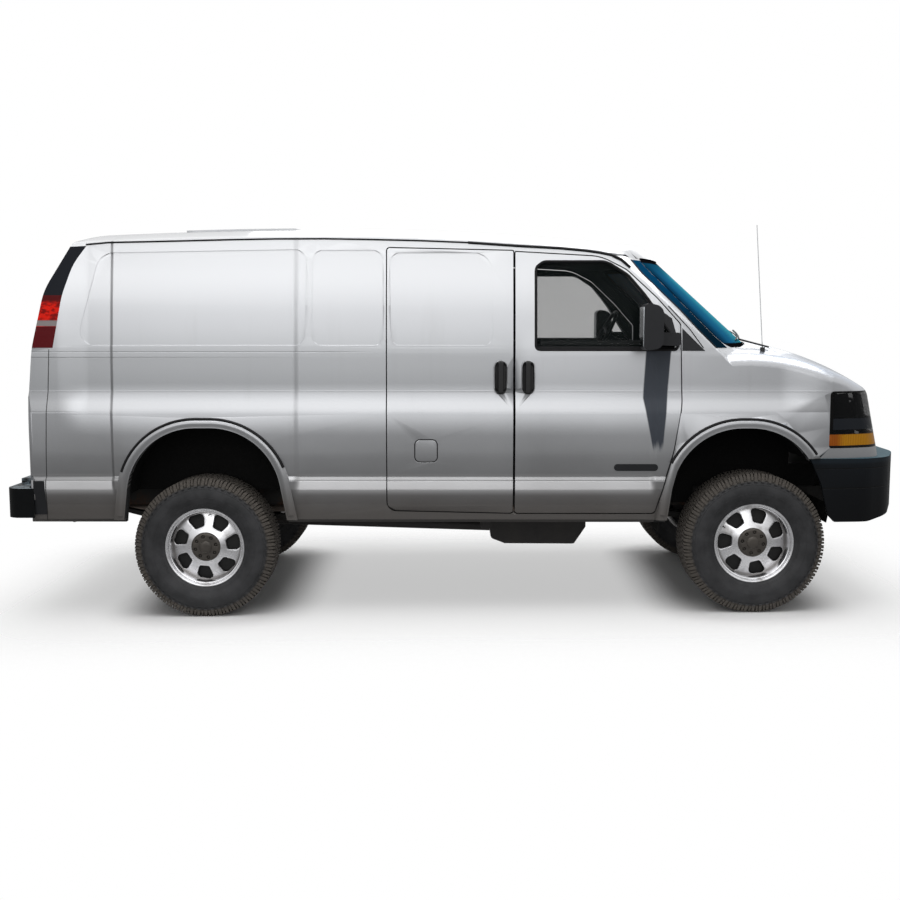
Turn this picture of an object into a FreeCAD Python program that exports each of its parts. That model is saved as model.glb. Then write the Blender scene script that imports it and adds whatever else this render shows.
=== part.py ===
import FreeCAD, Part
import math
import os

from FreeCAD import Vector

# A lifted four-wheel-drive cargo van.
# Millimetres. The body is drawn with its sills level: +X forward, +Y to the left, +Z up.
# At the end the whole van is leaned by its rake, so that all four tyres stand on z = 0.

# Stance
wheelbase = 3429.0
rear_axle_x = -1611.0
front_axle_x = rear_axle_x + wheelbase
rake_degrees = 0.515
centre_shift_x = -6.9

# Running clearances and seats
seat = 0.3
door_gap = 7.0
hinge_high = 60.0

# Body shell, as half widths at given heights
wall = 46.0
sill_z = 586.0
sill_half = 962.0
rocker_z = 606.0
rocker_half = 980.0
band_z = 700.0
band_half = 991.0
bulge_half = 1013.0
bulge_low_z = 796.0
bulge_high_z = 852.0
crease_z = 876.0
crease_half = 997.0
panel_half = 1005.0
shoulder_low_z = 1274.0
shoulder_high_z = 1402.0
shoulder_half = 973.0
belt_z = 1650.0
pillar_foot_z = 1664.0
belt_half = 962.0
cant_half = 868.0
cant_z = 2362.0

# Roof crown
roof_peak_x = -900.0
roof_peak_z = 2450.0
roof_front_radius = 18500.0
roof_rear_radius = 30000.0
roof_crown_radius = 3841.0
roof_split_drop = 124.0
roof_half_blank = 1150.0

# Rear end
rear_face_x = -2698.0
rear_corner_radius = 110.0
rear_top_x = -2400.0
rear_seam_half = 812.0
rear_centre_gap = 16.0
rear_door_skin = 8.0
rear_door_rebate = 16.0
rear_door_top_z = 2130.0
rear_top_gap = 14.0
rear_door_bottom_z = 846.0
rear_window_low_z = 1690.0
rear_window_high_z = 2050.0

# Windscreen: a plan arc pushed along its slope
screen_foot_x = 1945.0
screen_foot_z = 1675.0
screen_head_x = 1286.0
screen_head_z = 2267.0
screen_plan_radius = 1320.0
glass = 6.0
glass_depth = 9.0
screen_half_low = 850.0
screen_half_high = 770.0
screen_low_z = 1668.0
screen_high_z = 2228.0

# Nose
hood_axis_x = 1751.0
hood_axis_z = 256.0
hood_radius = 1453.0
hood_crown_radius = 5460.0
hood_half = 758.0
hood_rear_x = 1978.0
hood_lip_z = 1402.0
lamp_low_z = 1051.0
lamp_rear_x = 2262.0
amber_top_z = 1134.0
lamp_inner = 566.0
grille_half = 560.0
grille_low_z = 1040.0
grille_bar_count = 5
nose_round = 85.0
nose_front_x = 2694.0
nose_corner_x = 2590.0
nose_corner_half = 880.0
nose_lean = 0.21
nose_lean_z = 1157.0
fender_front_half = 975.0
fender_front_x = 2330.0

# Door and side seams
front_door_rear_x = 318.0
door_bottom_z = 640.0
door_top_z = 2232.0
front_seam_x = 1353.0
front_seam_z = 1330.0
front_seam_top_x = 1341.0
front_seam_top_z = 1815.0
side_door_rear_x = -472.0
side_door_top_z = 2268.0

# Wheel arches
arch_top_z = 1178.0
arch_round = 432.0
arch_lip = 62.0
arch_stand_out = 13.0
rear_arch_back_x = -2030.0
rear_arch_fore_x = -1196.0
rear_arch_foot_back_x = -2115.0
rear_arch_foot_fore_x = -1060.0
front_arch_back_x = 1346.0
front_arch_fore_x = 2205.0
front_arch_foot_back_x = 1245.0
wheelhouse_inner = 640.0
front_liner_inner = 492.0
wheelhouse_wall = 8.0
liner_open_z = 890.0

# Floor and frame
floor_top_z = 772.0
floor_thick = 26.0
frame_top_z = floor_top_z - floor_thick - seat
rail_depth = 130.0
rail_width = 70.0
rail_centre = 430.0
bumper_rear_x = -2840.0
bumper_rear_thick = 26.0
frame_rear_x = bumper_rear_x + bumper_rear_thick + seat
frame_front_x = 2780.0
firewall_x = 1520.0
doghouse_rear_x = 1090.0
doghouse_half = 300.0
doghouse_top_z = 1290.0
panel_thick = 12.0
engine_rear_x = 1180.0
engine_half = 230.0
gearbox_low_z = 520.0
transfer_rear_x = 200.0
transfer_front_x = 860.0
shaft_gap = 3.0
door_clearance = 6.0

# Bumpers
bumper_front_x = 2846.0
bumper_top_z = 988.0
bumper_low_z = 593.0
bumper_thick = 24.0
bumper_rear_low_z = 616.0
bumper_rear_top_z = 800.0
bumper_step_z = 832.0
hitch_bore = 13.0
hitch_x = -2780.0

# Handles and mirrors
handle_wide = 84.0
handle_high = 208.0
handle_z = 1488.0
handle_from_seam = 84.0
handle_seat_y = 972.0
mirror_x = 1130.0
mirror_z = 1792.0
mirror_out = 1095.0

# Wheels
tyre_radius = 438.0
tyre_width = 300.0
tyre_flats = 60
rim_flange_radius = 248.0
rim_seat_radius = 229.0
track_half = 855.0
rim_window_count = 7
hub_cap_radius = 94.0
brake_radius = 160.0

# Axles
axle_tube_radius = 45.0
front_diff_y = 150.0
spring_half_length = 690.0
damper_y = 345.0
rake = math.radians(rake_degrees)
rear_axle_z = (tyre_radius + rear_axle_x * math.sin(rake)) / math.cos(rake)
front_axle_z = (tyre_radius + front_axle_x * math.sin(rake)) / math.cos(rake)
cross_member_x = (-2600.0, -1980.0, -1000.0, -150.0, 2080.0, 2600.0)

# Fittings
press_depth = 5.0
flap_x = -225.0
flap_z = 1036.0
flap_size = 142.0
tail_lamp_top_z = 1990.0
vent_rear_x = -1840.0
vent_front_x = -1110.0
vent_half = 330.0
vent_high = 12.0
steering_y = 380.0
seat_y = 460.0
antenna_y = 800.0
antenna_foot_z = 1644.0

# Steering
kingpin_y = 770.0
kingpin_radius = 30.0
steer_arm = 115.0
spindle_radius = 28.0
yoke_half = 86.0
yoke_thick = 22.0


def point(plane, a, b):
    """A point given by its two coordinates in a plane through the origin."""
    if plane == "xz":
        return Vector(a, 0, b)
    if plane == "yz":
        return Vector(0, a, b)
    return Vector(a, b, 0)


def outline(plane, corners):
    """A closed wire through corners (a, b) or (a, b, radius), each radius a tangent arc."""
    spots = [point(plane, c[0], c[1]) for c in corners]
    radii = [c[2] if len(c) > 2 else 0.0 for c in corners]
    ends = []
    count = len(spots)
    for i in range(count):
        here = spots[i]
        back = (spots[i - 1] - here).normalize()
        ahead = (spots[(i + 1) % count] - here).normalize()
        if radii[i] <= 0.0:
            ends.append((here, None, here))
            continue
        half = back.getAngle(ahead) / 2.0
        reach = radii[i] / math.tan(half)
        middle = (back + ahead).normalize() * (radii[i] / math.sin(half) - radii[i])
        ends.append((here + back * reach, here + middle, here + ahead * reach))
    edges = []
    for i in range(count):
        first, middle, last = ends[i]
        if middle is not None:
            edges.append(Part.Arc(first, middle, last).toShape())
        following = ends[(i + 1) % count][0]
        if last.distanceToPoint(following) > 0.001:
            edges.append(Part.LineSegment(last, following).toShape())
    return Part.Wire(edges)


def shrunk(corners, inset):
    """The corners moved in by an inset from every side, with their radii following."""
    if inset == 0:
        return corners
    count = len(corners)
    area = sum(
        corners[i - 1][0] * corners[i][1] - corners[i][0] * corners[i - 1][1] for i in range(count)
    )
    turn = 1.0 if area > 0 else -1.0
    sides = []
    for i in range(count):
        ahead = corners[(i + 1) % count]
        run_a = ahead[0] - corners[i][0]
        run_b = ahead[1] - corners[i][1]
        size = math.hypot(run_a, run_b)
        sides.append((run_a / size, run_b / size))
    moved = []
    for i in range(count):
        before = sides[i - 1]
        after = sides[i]
        cross = turn * (before[0] * after[1] - before[1] * after[0])
        share = inset / (1.0 + before[0] * after[0] + before[1] * after[1])
        a = corners[i][0] - turn * share * (before[1] + after[1])
        b = corners[i][1] + turn * share * (before[0] + after[0])
        radius = corners[i][2] if len(corners[i]) > 2 else 0.0
        if radius > 0.0:
            radius = max(radius - inset, 1.0) if cross > 0 else radius + inset
        moved.append((a, b, radius))
    return moved


def prism(plane, corners, low, high):
    """A solid with the given outline, from low to high along the plane's normal."""
    face = Part.Face(outline(plane, corners))
    along = {"xz": Vector(0, 1, 0), "yz": Vector(1, 0, 0), "xy": Vector(0, 0, 1)}[plane]
    face.translate(along * low)
    return face.extrude(along * (high - low))


def box(x0, x1, y0, y1, z0, z1):
    """A box between two values on each axis."""
    return Part.makeBox(x1 - x0, y1 - y0, z1 - z0, Vector(x0, y0, z0))


def rod(start, end, radius):
    """A round bar between two points."""
    run = Vector(*end) - Vector(*start)
    return Part.makeCylinder(radius, run.Length, Vector(*start), run)


def fuse(shapes):
    """One shape from several that touch or overlap."""
    return shapes[0].multiFuse(shapes[1:]).removeSplitter()


def ring_section(corners, centre_x, centre_z, y_centre):
    """A solid of revolution about a line along Y, from corners given as (y offset, radius)."""
    spots = [(y_centre + c[0], centre_z + c[1]) + tuple(c[2:]) for c in corners]
    face = Part.Face(outline("yz", spots))
    face.translate(Vector(centre_x, 0, 0))
    return face.revolve(Vector(centre_x, 0, centre_z), Vector(0, 1, 0), 360)


# Outer form of the body, shrunk by an inset for the inside of its walls


def side_section(inset):
    """The cross section of the body below the roof, run the length of the van."""
    rising = [
        (sill_half, sill_z), (rocker_half, rocker_z, 12), (band_half, band_z, 90),
        (bulge_half, bulge_low_z, 24), (bulge_half, bulge_high_z, 22), (crease_half, crease_z, 10),
        (panel_half, 1010.0, 900), (panel_half, shoulder_low_z, 70),
        (shoulder_half, shoulder_high_z, 70), (belt_half, belt_z, 1200),
        (belt_half - 32.0, 1950.0, 1400), (cant_half, cant_z), (cant_half - 60.0, 2600.0),
    ]
    if inset > 0:
        rising = [
            (sill_half - 2, sill_z - 120), (rocker_half, band_z), (crease_half, crease_z),
            (panel_half, shoulder_low_z, 70), (shoulder_half, shoulder_high_z, 70), (belt_half, belt_z, 1200),
            (belt_half - 32.0, 1950.0, 1400), (cant_half, cant_z), (cant_half - 60.0, 2600.0),
        ]
    right = [(-c[0],) + tuple(c[1:]) for c in rising]
    left = list(reversed(rising))
    return prism("yz", shrunk(right + left, inset), -2900.0, 2800.0)


def roof_crown(inset, x_low, x_high):
    """What lies below the roof's crowned surface: a shallow arch swept along two long arcs."""
    top = roof_peak_z - inset
    drop = roof_crown_radius - math.sqrt(roof_crown_radius**2 - roof_half_blank**2)
    arch = Part.Arc(
        Vector(roof_peak_x, -roof_half_blank, top - drop),
        Vector(roof_peak_x, 0, top),
        Vector(roof_peak_x, roof_half_blank, top - drop),
    ).toShape()
    feet = [Vector(roof_peak_x, side * roof_half_blank, 300.0) for side in (1, -1)]
    legs = [
        Part.LineSegment(Vector(roof_peak_x, roof_half_blank, top - drop), feet[0]).toShape(),
        Part.LineSegment(feet[0], feet[1]).toShape(),
        Part.LineSegment(feet[1], Vector(roof_peak_x, -roof_half_blank, top - drop)).toShape(),
    ]
    face = Part.Face(Part.Wire([arch] + legs))
    halves = []
    for radius, sense in ((roof_front_radius, 1), (roof_rear_radius, -1)):
        axis = Vector(roof_peak_x, 0, roof_peak_z - radius)
        halves.append(face.revolve(axis, Vector(0, sense, 0), 9.5))
    return halves[0].fuse(halves[1]).common(box(x_low, x_high, -1200, 1200, 350, 2600))


def side_profile(inset):
    """The van seen from the side as a flat outline, with its sloped rear end."""
    rear = [
        (rear_face_x + 14, sill_z - 60), (rear_face_x, 1090.0, 600), (-2652.0, 1667.0, 900),
        (-2577.0, 2020.0, 420), (rear_top_x, 2318.0), (-2150.0, 2600.0),
    ]
    corners = rear + [(2750.0, 2600.0), (2750.0, sill_z - 60)]
    return prism("xz", shrunk(corners, inset), -1200.0, 1200.0)


def plan_outline(inset):
    """The body seen from above: a square tail with round corners and long straight sides."""
    side = bulge_half + 40
    right = [
        (rear_face_x - 2, 30 - side, rear_corner_radius),
        (3200.0, -side),
    ]
    left = [(c[0], -c[1]) + tuple(c[2:]) for c in reversed(right)]
    return prism("xy", shrunk(right + left, inset), 300.0, 2600.0)


def nose_corners():
    """The nose seen from above at the height of its lamps."""
    side = bulge_half + 40
    right = [
        (500.0, -side),
        (1250.0, -side, 2500),
        (fender_front_x, -fender_front_half, 450),
        (nose_corner_x, -nose_corner_half, 190),
        (nose_front_x, 0.0, 2200),
    ]
    left = [(c[0], -c[1]) + tuple(c[2:]) for c in reversed(right[:-1])]
    return right + left


def nose_plan(inset):
    """The nose's outline pushed up along the lean of its front."""
    face = Part.Face(outline("xy", shrunk(nose_corners(), inset)))
    low = sill_z - 100.0
    face.translate(Vector((nose_lean_z - low) * nose_lean, 0, low))
    rise = 1900.0 - low
    return face.extrude(Vector(-nose_lean * rise, 0, rise))


def screen_solid(inset):
    """Everything behind the windscreen's outer surface: a plan arc pushed along its slope."""
    slope_x = screen_foot_x - screen_head_x
    slope_z = screen_foot_z - screen_head_z
    start_z = 2700.0
    start_x = screen_head_x + (start_z - screen_head_z) * slope_x / slope_z - inset
    reach = 1100.0
    sag = screen_plan_radius - math.sqrt(screen_plan_radius**2 - reach**2)
    arc = Part.Arc(
        Vector(start_x - sag, -reach, start_z), Vector(start_x, 0, start_z), Vector(start_x - sag, reach, start_z)
    ).toShape()
    back = [Vector(start_x - 6000, reach, start_z), Vector(start_x - 6000, -reach, start_z)]
    legs = [
        Part.LineSegment(Vector(start_x - sag, reach, start_z), back[0]).toShape(),
        Part.LineSegment(back[0], back[1]).toShape(),
        Part.LineSegment(back[1], Vector(start_x - sag, -reach, start_z)).toShape(),
    ]
    face = Part.Face(Part.Wire([arc] + legs))
    fall = (start_z - 300.0) / -slope_z
    return face.extrude(Vector(slope_x, 0, slope_z) * fall)


def cabin(inset):
    """Cab and load space as one form."""
    form = side_section(inset).common(roof_crown(inset, -2900, 2800))
    form = form.common(side_profile(inset))
    form = form.common(plan_outline(inset))
    return form.common(screen_solid(inset * 1.35))


def nose(inset):
    """Engine bay and fenders as one form, crowned on top and rounded into its sides."""
    reach = 1150.0
    radius = hood_radius - inset
    drop = hood_crown_radius - math.sqrt(hood_crown_radius**2 - reach**2)
    top = hood_axis_z + radius
    arch = Part.Arc(
        Vector(hood_axis_x, -reach, top - drop), Vector(hood_axis_x, 0, top), Vector(hood_axis_x, reach, top - drop)
    ).toShape()
    feet = [Vector(hood_axis_x, side * reach, hood_axis_z + 200) for side in (1, -1)]
    legs = [
        Part.LineSegment(Vector(hood_axis_x, reach, top - drop), feet[0]).toShape(),
        Part.LineSegment(feet[0], feet[1]).toShape(),
        Part.LineSegment(feet[1], Vector(hood_axis_x, -reach, top - drop)).toShape(),
    ]
    face = Part.Face(Part.Wire([arch] + legs))
    axis = Vector(hood_axis_x, 0, hood_axis_z)
    crown = face.revolve(axis, Vector(0, 1, 0), 75).fuse(face.revolve(axis, Vector(0, -1, 0), 30))
    form = crown.common(box(1200, 2800, -1200, 1200, 400, 2000))
    low = box(1200, 2800, -1200, 1200, sill_z - 60, hood_axis_z + 560)
    form = form.fuse(low).common(side_section(inset)).common(nose_plan(inset))
    shoulders = [
        edge for edge in form.Edges
        if abs(edge.CenterOfMass.y) > 780 and edge.CenterOfMass.z > 1330
        and edge.Length > 150 and edge.Curve.TypeId != "Part::GeomLine"
    ]
    return form.makeFillet(nose_round - inset, shoulders)


def roof_line(drop):
    """What lies above the line where the roof meets the sides."""
    top = roof_peak_z - drop
    rear = roof_peak_x - 2000.0
    front = roof_peak_x + 2400.0
    spots = [
        (x, top - (x - roof_peak_x) ** 2 / 2.0 / radius)
        for x, radius in (
            (rear, roof_rear_radius), ((rear + roof_peak_x) / 2, roof_rear_radius), (roof_peak_x, roof_rear_radius),
            ((front + roof_peak_x) / 2, roof_front_radius), (front, roof_front_radius),
        )
    ]
    p = [Vector(x, -1200, z) for x, z in spots]
    top_front = Vector(front, -1200, 2700)
    top_rear = Vector(rear, -1200, 2700)
    edges = [
        Part.Arc(p[0], p[1], p[2]).toShape(), Part.Arc(p[2], p[3], p[4]).toShape(),
        Part.LineSegment(p[4], top_front).toShape(), Part.LineSegment(top_front, top_rear).toShape(),
        Part.LineSegment(top_rear, p[0]).toShape(),
    ]
    return Part.Face(Part.Wire(edges)).extrude(Vector(0, 2400, 0))


# Seams on the side of the body, as seen from the side


def front_door_corners(gap):
    """A front door's edge, set in from its seam by a gap."""
    corners = [
        (front_door_rear_x, door_bottom_z, 22), (1196.0, door_bottom_z, 30), (1305.0, 1030.0, 700),
        (front_seam_x, front_seam_z, 600), (front_seam_top_x, front_seam_top_z, 26), (1195.0, 1978.0, 300),
        (1010.0, 2150.0, 150), (850.0, door_top_z, 300), (front_door_rear_x, 2262.0, 14),
    ]
    return shrunk(corners, gap)


def front_window_corners(gap):
    """The opening in a front door, grown or shrunk by a gap."""
    corners = [
        (456.0, 1661.0, 26), (1330.0, 1661.0, 20), (1137.0, 1960.0, 600),
        (1010.0, 2108.0, 160), (880.0, 2191.0, 110), (456.0, 2191.0, 60),
    ]
    return shrunk(corners, gap)


def side_door_corners(gap):
    """The side cargo door's edge, with its round lower rear corner."""
    corners = [
        (side_door_rear_x, door_bottom_z + 18, 60), (front_door_rear_x, door_bottom_z, 22),
        (front_door_rear_x, side_door_top_z, 14), (side_door_rear_x, side_door_top_z + 18, 24),
    ]
    return shrunk(corners, gap)


def rear_arch_corners(grow):
    """The rear wheel opening, grown by a lip's width."""
    corners = [
        (rear_arch_foot_back_x, 460.0), (rear_arch_foot_fore_x, 460.0),
        (rear_arch_fore_x, arch_top_z, arch_round), (rear_arch_back_x, arch_top_z, arch_round),
    ]
    return shrunk(corners, -grow)


def front_arch_corners(grow):
    """The front wheel opening, grown by a lip's width."""
    corners = [
        (front_arch_foot_back_x, 460.0), (front_arch_fore_x, 460.0),
        (front_arch_fore_x, arch_top_z, arch_round), (front_arch_back_x, arch_top_z, arch_round),
    ]
    return shrunk(corners, -grow)


def fender_back_corners():
    """What lies behind the front door's front seam, or above the belt."""
    share = (pillar_foot_z - front_seam_z) / (front_seam_top_z - front_seam_z)
    foot_x = front_seam_x + (front_seam_top_x - front_seam_x) * share
    return [
        (-2900.0, 450.0), (1180.0, 450.0), (1196.0, door_bottom_z, 10), (1305.0, 1030.0, 700),
        (front_seam_x, front_seam_z, 600), (foot_x, pillar_foot_z), (2300.0, pillar_foot_z), (2300.0, 2700.0),
        (-2900.0, 2700.0),
    ]


def rear_end_corners(gap):
    """The rear doorway seen from behind."""
    corners = [
        (-rear_seam_half, rear_door_bottom_z, 40), (rear_seam_half, rear_door_bottom_z, 40),
        (rear_seam_half - 46.0, rear_door_top_z, 90), (46.0 - rear_seam_half, rear_door_top_z, 90),
    ]
    return shrunk(corners, gap)


def windscreen_corners(gap):
    """The windscreen's opening seen from in front."""
    corners = [
        (-screen_half_low, screen_low_z, 60), (screen_half_low, screen_low_z, 60),
        (screen_half_high, screen_high_z, 70), (-screen_half_high, screen_high_z, 70),
    ]
    return shrunk(corners, gap)


def lamp_corners(gap):
    """A headlamp's opening in the fender, seen from the side."""
    corners = [
        (lamp_rear_x, lamp_low_z, 14), (2900.0, lamp_low_z), (2900.0, hood_lip_z), (lamp_rear_x, hood_lip_z, 26),
    ]
    return shrunk(corners, gap)


# Body pieces


def side_half(side):
    """A thick slab that holds one side of the van."""
    return box(-2900, 3000, -1300, -0.5, 300, 2700) if side < 0 else box(-2900, 3000, 0.5, 1300, 300, 2700)


def side_prism(corners, low, high, side):
    """A side outline pushed across, on the right or the left of the van."""
    if side < 0:
        return prism("xz", corners, -high, -low)
    return prism("xz", corners, low, high)


def arch_lips(side):
    """The raised band round each wheel opening of one side, as (rear, front)."""
    bands = []
    for corners in (rear_arch_corners, front_arch_corners):
        face = panel_half - wall + 4.0
        band = side_prism(corners(arch_lip), face, panel_half + arch_stand_out, side)
        hollow = side_prism(corners(0.0), face - 60.0, panel_half + arch_stand_out + 60.0, side)
        band = band.cut(hollow)
        floor = box(-2900, 2900, -1200, 1200, 300, sill_z + 20)
        bands.append(band.cut(floor))
    return bands


def pressed_panels(side):
    """Shallow recesses where windows would be, as one cutter for a side."""
    sheets = [
        [(-2380.0, 1683.0, 90), (-968.0, 1683.0, 70), (-962.0, 2272.0, 70), (-2235.0, 2250.0, 110)],
        [(-927.0, 1683.0, 60), (-489.0, 1683.0, 60), (-492.0, 2266.0, 60), (-922.0, 2266.0, 60)],
        [(-440.0, 1683.0, 60), (190.0, 1683.0, 60), (180.0, 2250.0, 110), (-448.0, 2250.0, 60)],
    ]
    return [side_prism(corners, 700.0, 1300.0, side) for corners in sheets]


def recess(shape, skin_layer, sheets):
    """The shape with its outer face sunk by a thin skin layer inside each sheet's outline."""
    for sheet in sheets:
        shape = shape.cut(skin_layer.common(sheet))
    return shape


def screen_slab(front, back):
    """A layer of the windscreen's form between two depths."""
    return screen_solid(front).cut(screen_solid(back))


def windscreen_hole():
    """The windscreen's opening through the shell."""
    through = prism("yz", windscreen_corners(0.0), 900.0, 2100.0)
    return through.common(screen_slab(-4.0, wall * 2.4))


def body_side(side, shell, sunk):
    """A whole side: quarter panel, pillars, sill and arch, with its door openings."""
    piece = shell.common(side_half(side))
    piece = piece.cut(roof_line(roof_split_drop))
    piece = piece.common(side_prism(fender_back_corners(), 300.0, 1300.0, side))
    piece = piece.cut(side_prism(front_door_corners(0.0), 300.0, 1300.0, side))
    piece = piece.cut(side_prism(rear_arch_corners(0.0), 300.0, 1300.0, side))
    if side < 0:
        piece = piece.cut(side_prism(side_door_corners(0.0), 300.0, 1300.0, side))
    piece = piece.cut(prism("yz", rear_end_corners(0.0), -2900.0, -2200.0))
    piece = piece.common(screen_solid(0.0)).cut(windscreen_hole())
    piece = piece.cut(box(1300, 2300, -hood_half, hood_half, 1400, screen_low_z))
    piece = piece.cut(tail_lamp_block(side, 0.0))
    piece = piece.cut(box(-2900, -2600, 60 - rear_seam_half, rear_seam_half - 60, 500, floor_top_z))
    piece = recess(piece, sunk, pressed_panels(side)[:3 if side > 0 else 2])
    return piece.fuse(arch_lips(side)[0]).removeSplitter()


def tail_lamp_block(side, gap):
    """The corner recess that the tail lamp and its upper filler fill."""
    corners = [
        (-2760.0, 1668.0), (-2522.0, 1668.0), (-2466.0, 1990.0, 600), (-2400.0, 2180.0, 400),
        (-2296.0, 2322.0), (-2460.0, 2400.0), (-2760.0, 2100.0),
    ]
    return side_prism(shrunk(corners, gap), rear_seam_half + 26.0 + gap, 1200.0, side)


def front_door(side, shell):
    """A front door with its window opening, its handle and its hinge leaves."""
    piece = shell.common(side_prism(front_door_corners(door_gap), 300.0, 1300.0, side))
    piece = piece.cut(roof_line(roof_split_drop)).common(screen_solid(0.0))
    piece = piece.cut(side_prism(front_window_corners(0.0), 300.0, 1300.0, side))
    centre_x = front_door_rear_x + handle_from_seam
    piece = piece.cut(handle_pocket(side, centre_x))
    leaves = hinge_leaves(side, front_door_corners, 1250, 1400, ((1150, 968, 984), (1560, 926, 946)))
    return fuse([piece, handle(side, centre_x)] + leaves)


def hinge_leaves(side, corners, x_low, x_high, spots):
    """Hinge leaves across a door's seam, each from (height, inner y, outer y)."""
    inner = side_prism(corners(door_gap + 8.0), 800.0, 1100.0, side)
    band = side_prism(corners(seat), 850.0, 1050.0, side).cut(inner)
    leaves = []
    for low, y_in, y_out in spots:
        y0, y1 = sorted((side * y_in, side * y_out))
        leaves.append(band.common(box(x_low, x_high, y0, y1, low, low + hinge_high)))
    return leaves


def square(centre_a, centre_b, half_a, half_b, radius):
    """The corners of a round-cornered oblong about a centre."""
    return [
        (centre_a - half_a, centre_b - half_b, radius), (centre_a + half_a, centre_b - half_b, radius),
        (centre_a + half_a, centre_b + half_b, radius), (centre_a - half_a, centre_b + half_b, radius),
    ]


def side_door(shell, sunk):
    """The cargo door on the right, with a pressed panel, its handle and a filler flap."""
    piece = shell.common(side_prism(side_door_corners(door_gap), 300.0, 1300.0, -1))
    piece = recess(piece, sunk, pressed_panels(-1)[2:])
    centre_x = front_door_rear_x - handle_from_seam
    piece = piece.cut(handle_pocket(-1, centre_x))
    flap = square(flap_x, flap_z, flap_size / 2, flap_size / 2, 34)
    groove = side_prism(flap, panel_half - 6.0, 1100.0, -1)
    groove = groove.cut(side_prism(shrunk(flap, 5.0), 900.0, 1150.0, -1))
    piece = piece.cut(groove)
    leaves = hinge_leaves(-1, side_door_corners, -500, -440, ((1000, 964, 984), (1720, 918, 936)))
    return fuse([piece, handle(-1, centre_x)] + leaves)


def handle(side, centre_x):
    """A pull handle: an upright oval frame round a dish, with its grip bridging the dish."""
    oval = square(centre_x, handle_z, handle_wide / 2, handle_high / 2, handle_wide / 2 - 2)
    plate = side_prism(oval, handle_seat_y, handle_seat_y + 24.0, side)
    dish = side_prism(shrunk(oval, 12.0), handle_seat_y + 8.0, handle_seat_y + 90.0, side)
    plan = square(centre_x, handle_z, 14.0, handle_high / 2 - 8, 12)
    grip = side_prism(plan, handle_seat_y + 12.0, handle_seat_y + 26.0, side)
    return plate.cut(dish).fuse(grip)


def handle_pocket(side, centre_x):
    """The hole in a door that a handle's plate fills."""
    oval = square(centre_x, handle_z, handle_wide / 2, handle_high / 2, handle_wide / 2 - 2)
    return side_prism(oval, handle_seat_y, 1300.0, side)


def rear_window_corners(side, gap):
    """The window in one rear door, seen from behind."""
    corners = [
        (side * 120.0, rear_window_low_z, 50), (side * 700.0, rear_window_low_z, 50),
        (side * 680.0, rear_window_high_z, 50), (side * 120.0, rear_window_high_z, 50),
    ]
    return shrunk(corners, gap)


def rear_doors(shell):
    """The two rear doors, each with a window opening and two hinge leaves."""
    opening = shell.common(prism("yz", rear_end_corners(door_gap), -2900.0, -2200.0))
    band = prism("yz", rear_end_corners(seat), -2690.0, -2600.0)
    band = band.cut(prism("yz", rear_end_corners(door_gap + 8.0), -2700.0, -2590.0))
    doors = {}
    for side, name in ((1, "left"), (-1, "right")):
        y0, y1 = sorted((side * rear_centre_gap / 2, side * 1200.0))
        leaf = opening.common(box(-2900, -2200, y0, y1, 300, 2700)).cut(roof_line(roof_split_drop))
        y0, y1 = sorted((0.0, side * (rear_centre_gap / 2 + rear_door_rebate)))
        leaf = leaf.cut(side_profile(rear_door_skin).common(box(-2900, -2200, y0, y1, 300, 2700)))
        leaf = leaf.cut(box(-2900, -2200, -1200, 1200, rear_door_top_z - rear_top_gap, 2700))
        leaf = leaf.cut(prism("yz", rear_window_corners(side, 0.0), -2900.0, -2200.0))
        y0, y1 = sorted((side * 700.0, side * 900.0))
        hinges = [band.common(box(-2684, -2666, y0, y1, 1000, 1000 + hinge_high))]
        hinges.append(band.common(box(-2654, -2636, y0, y1, 1480, 1480 + hinge_high)))
        doors[name] = fuse([leaf] + hinges)
    return doors


def glazing():
    """The windscreen, the front door windows and the rear door windows."""
    pane = screen_slab(glass_depth, glass_depth + glass * 1.5)
    panes = {"windshield": pane.common(prism("yz", windscreen_corners(seat), 900.0, 2100.0))}
    layer = side_section(glass_depth).cut(side_section(glass_depth + glass))
    rear = side_profile(glass_depth).cut(side_profile(glass_depth + glass))
    for side, name in ((1, "left"), (-1, "right")):
        window = side_prism(front_window_corners(seat), 300.0, 1300.0, side)
        panes["glass_front_" + name] = layer.common(window)
        window = prism("yz", rear_window_corners(side, seat), -2900.0, -2200.0)
        panes["glass_rear_" + name] = rear.common(window)
    return panes


def mirror(side):
    """A door mirror: a round-cornered housing on a short arm from the door's front corner."""
    corners = [
        (mirror_x - 52, mirror_z - 140, 26), (mirror_x + 60, mirror_z - 120, 50),
        (mirror_x + 60, mirror_z + 125, 60), (mirror_x - 52, mirror_z + 148, 26),
    ]
    housing = side_prism(corners, mirror_out - 75.0, mirror_out + 95.0, side)
    arm = [
        (mirror_x + 40, mirror_z - 105, 14), (1318.0, mirror_z - 112, 14),
        (1318.0, mirror_z - 30, 14), (mirror_x + 40, mirror_z - 30, 14),
    ]
    reach = side_prism(arm, 930.0, mirror_out - 40.0, side)
    reach = reach.cut(side_section(-seat))
    return housing.fuse(reach).removeSplitter()


def hood_corners(gap):
    """The hood's opening in plan, its rear edge bowed forward in the middle."""
    corners = [
        (hood_rear_x, -hood_half), (3000.0, -hood_half), (3000.0, hood_half), (hood_rear_x, hood_half),
        (hood_rear_x + 34.0, 0.0, 3000),
    ]
    return shrunk(corners, gap)


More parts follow.
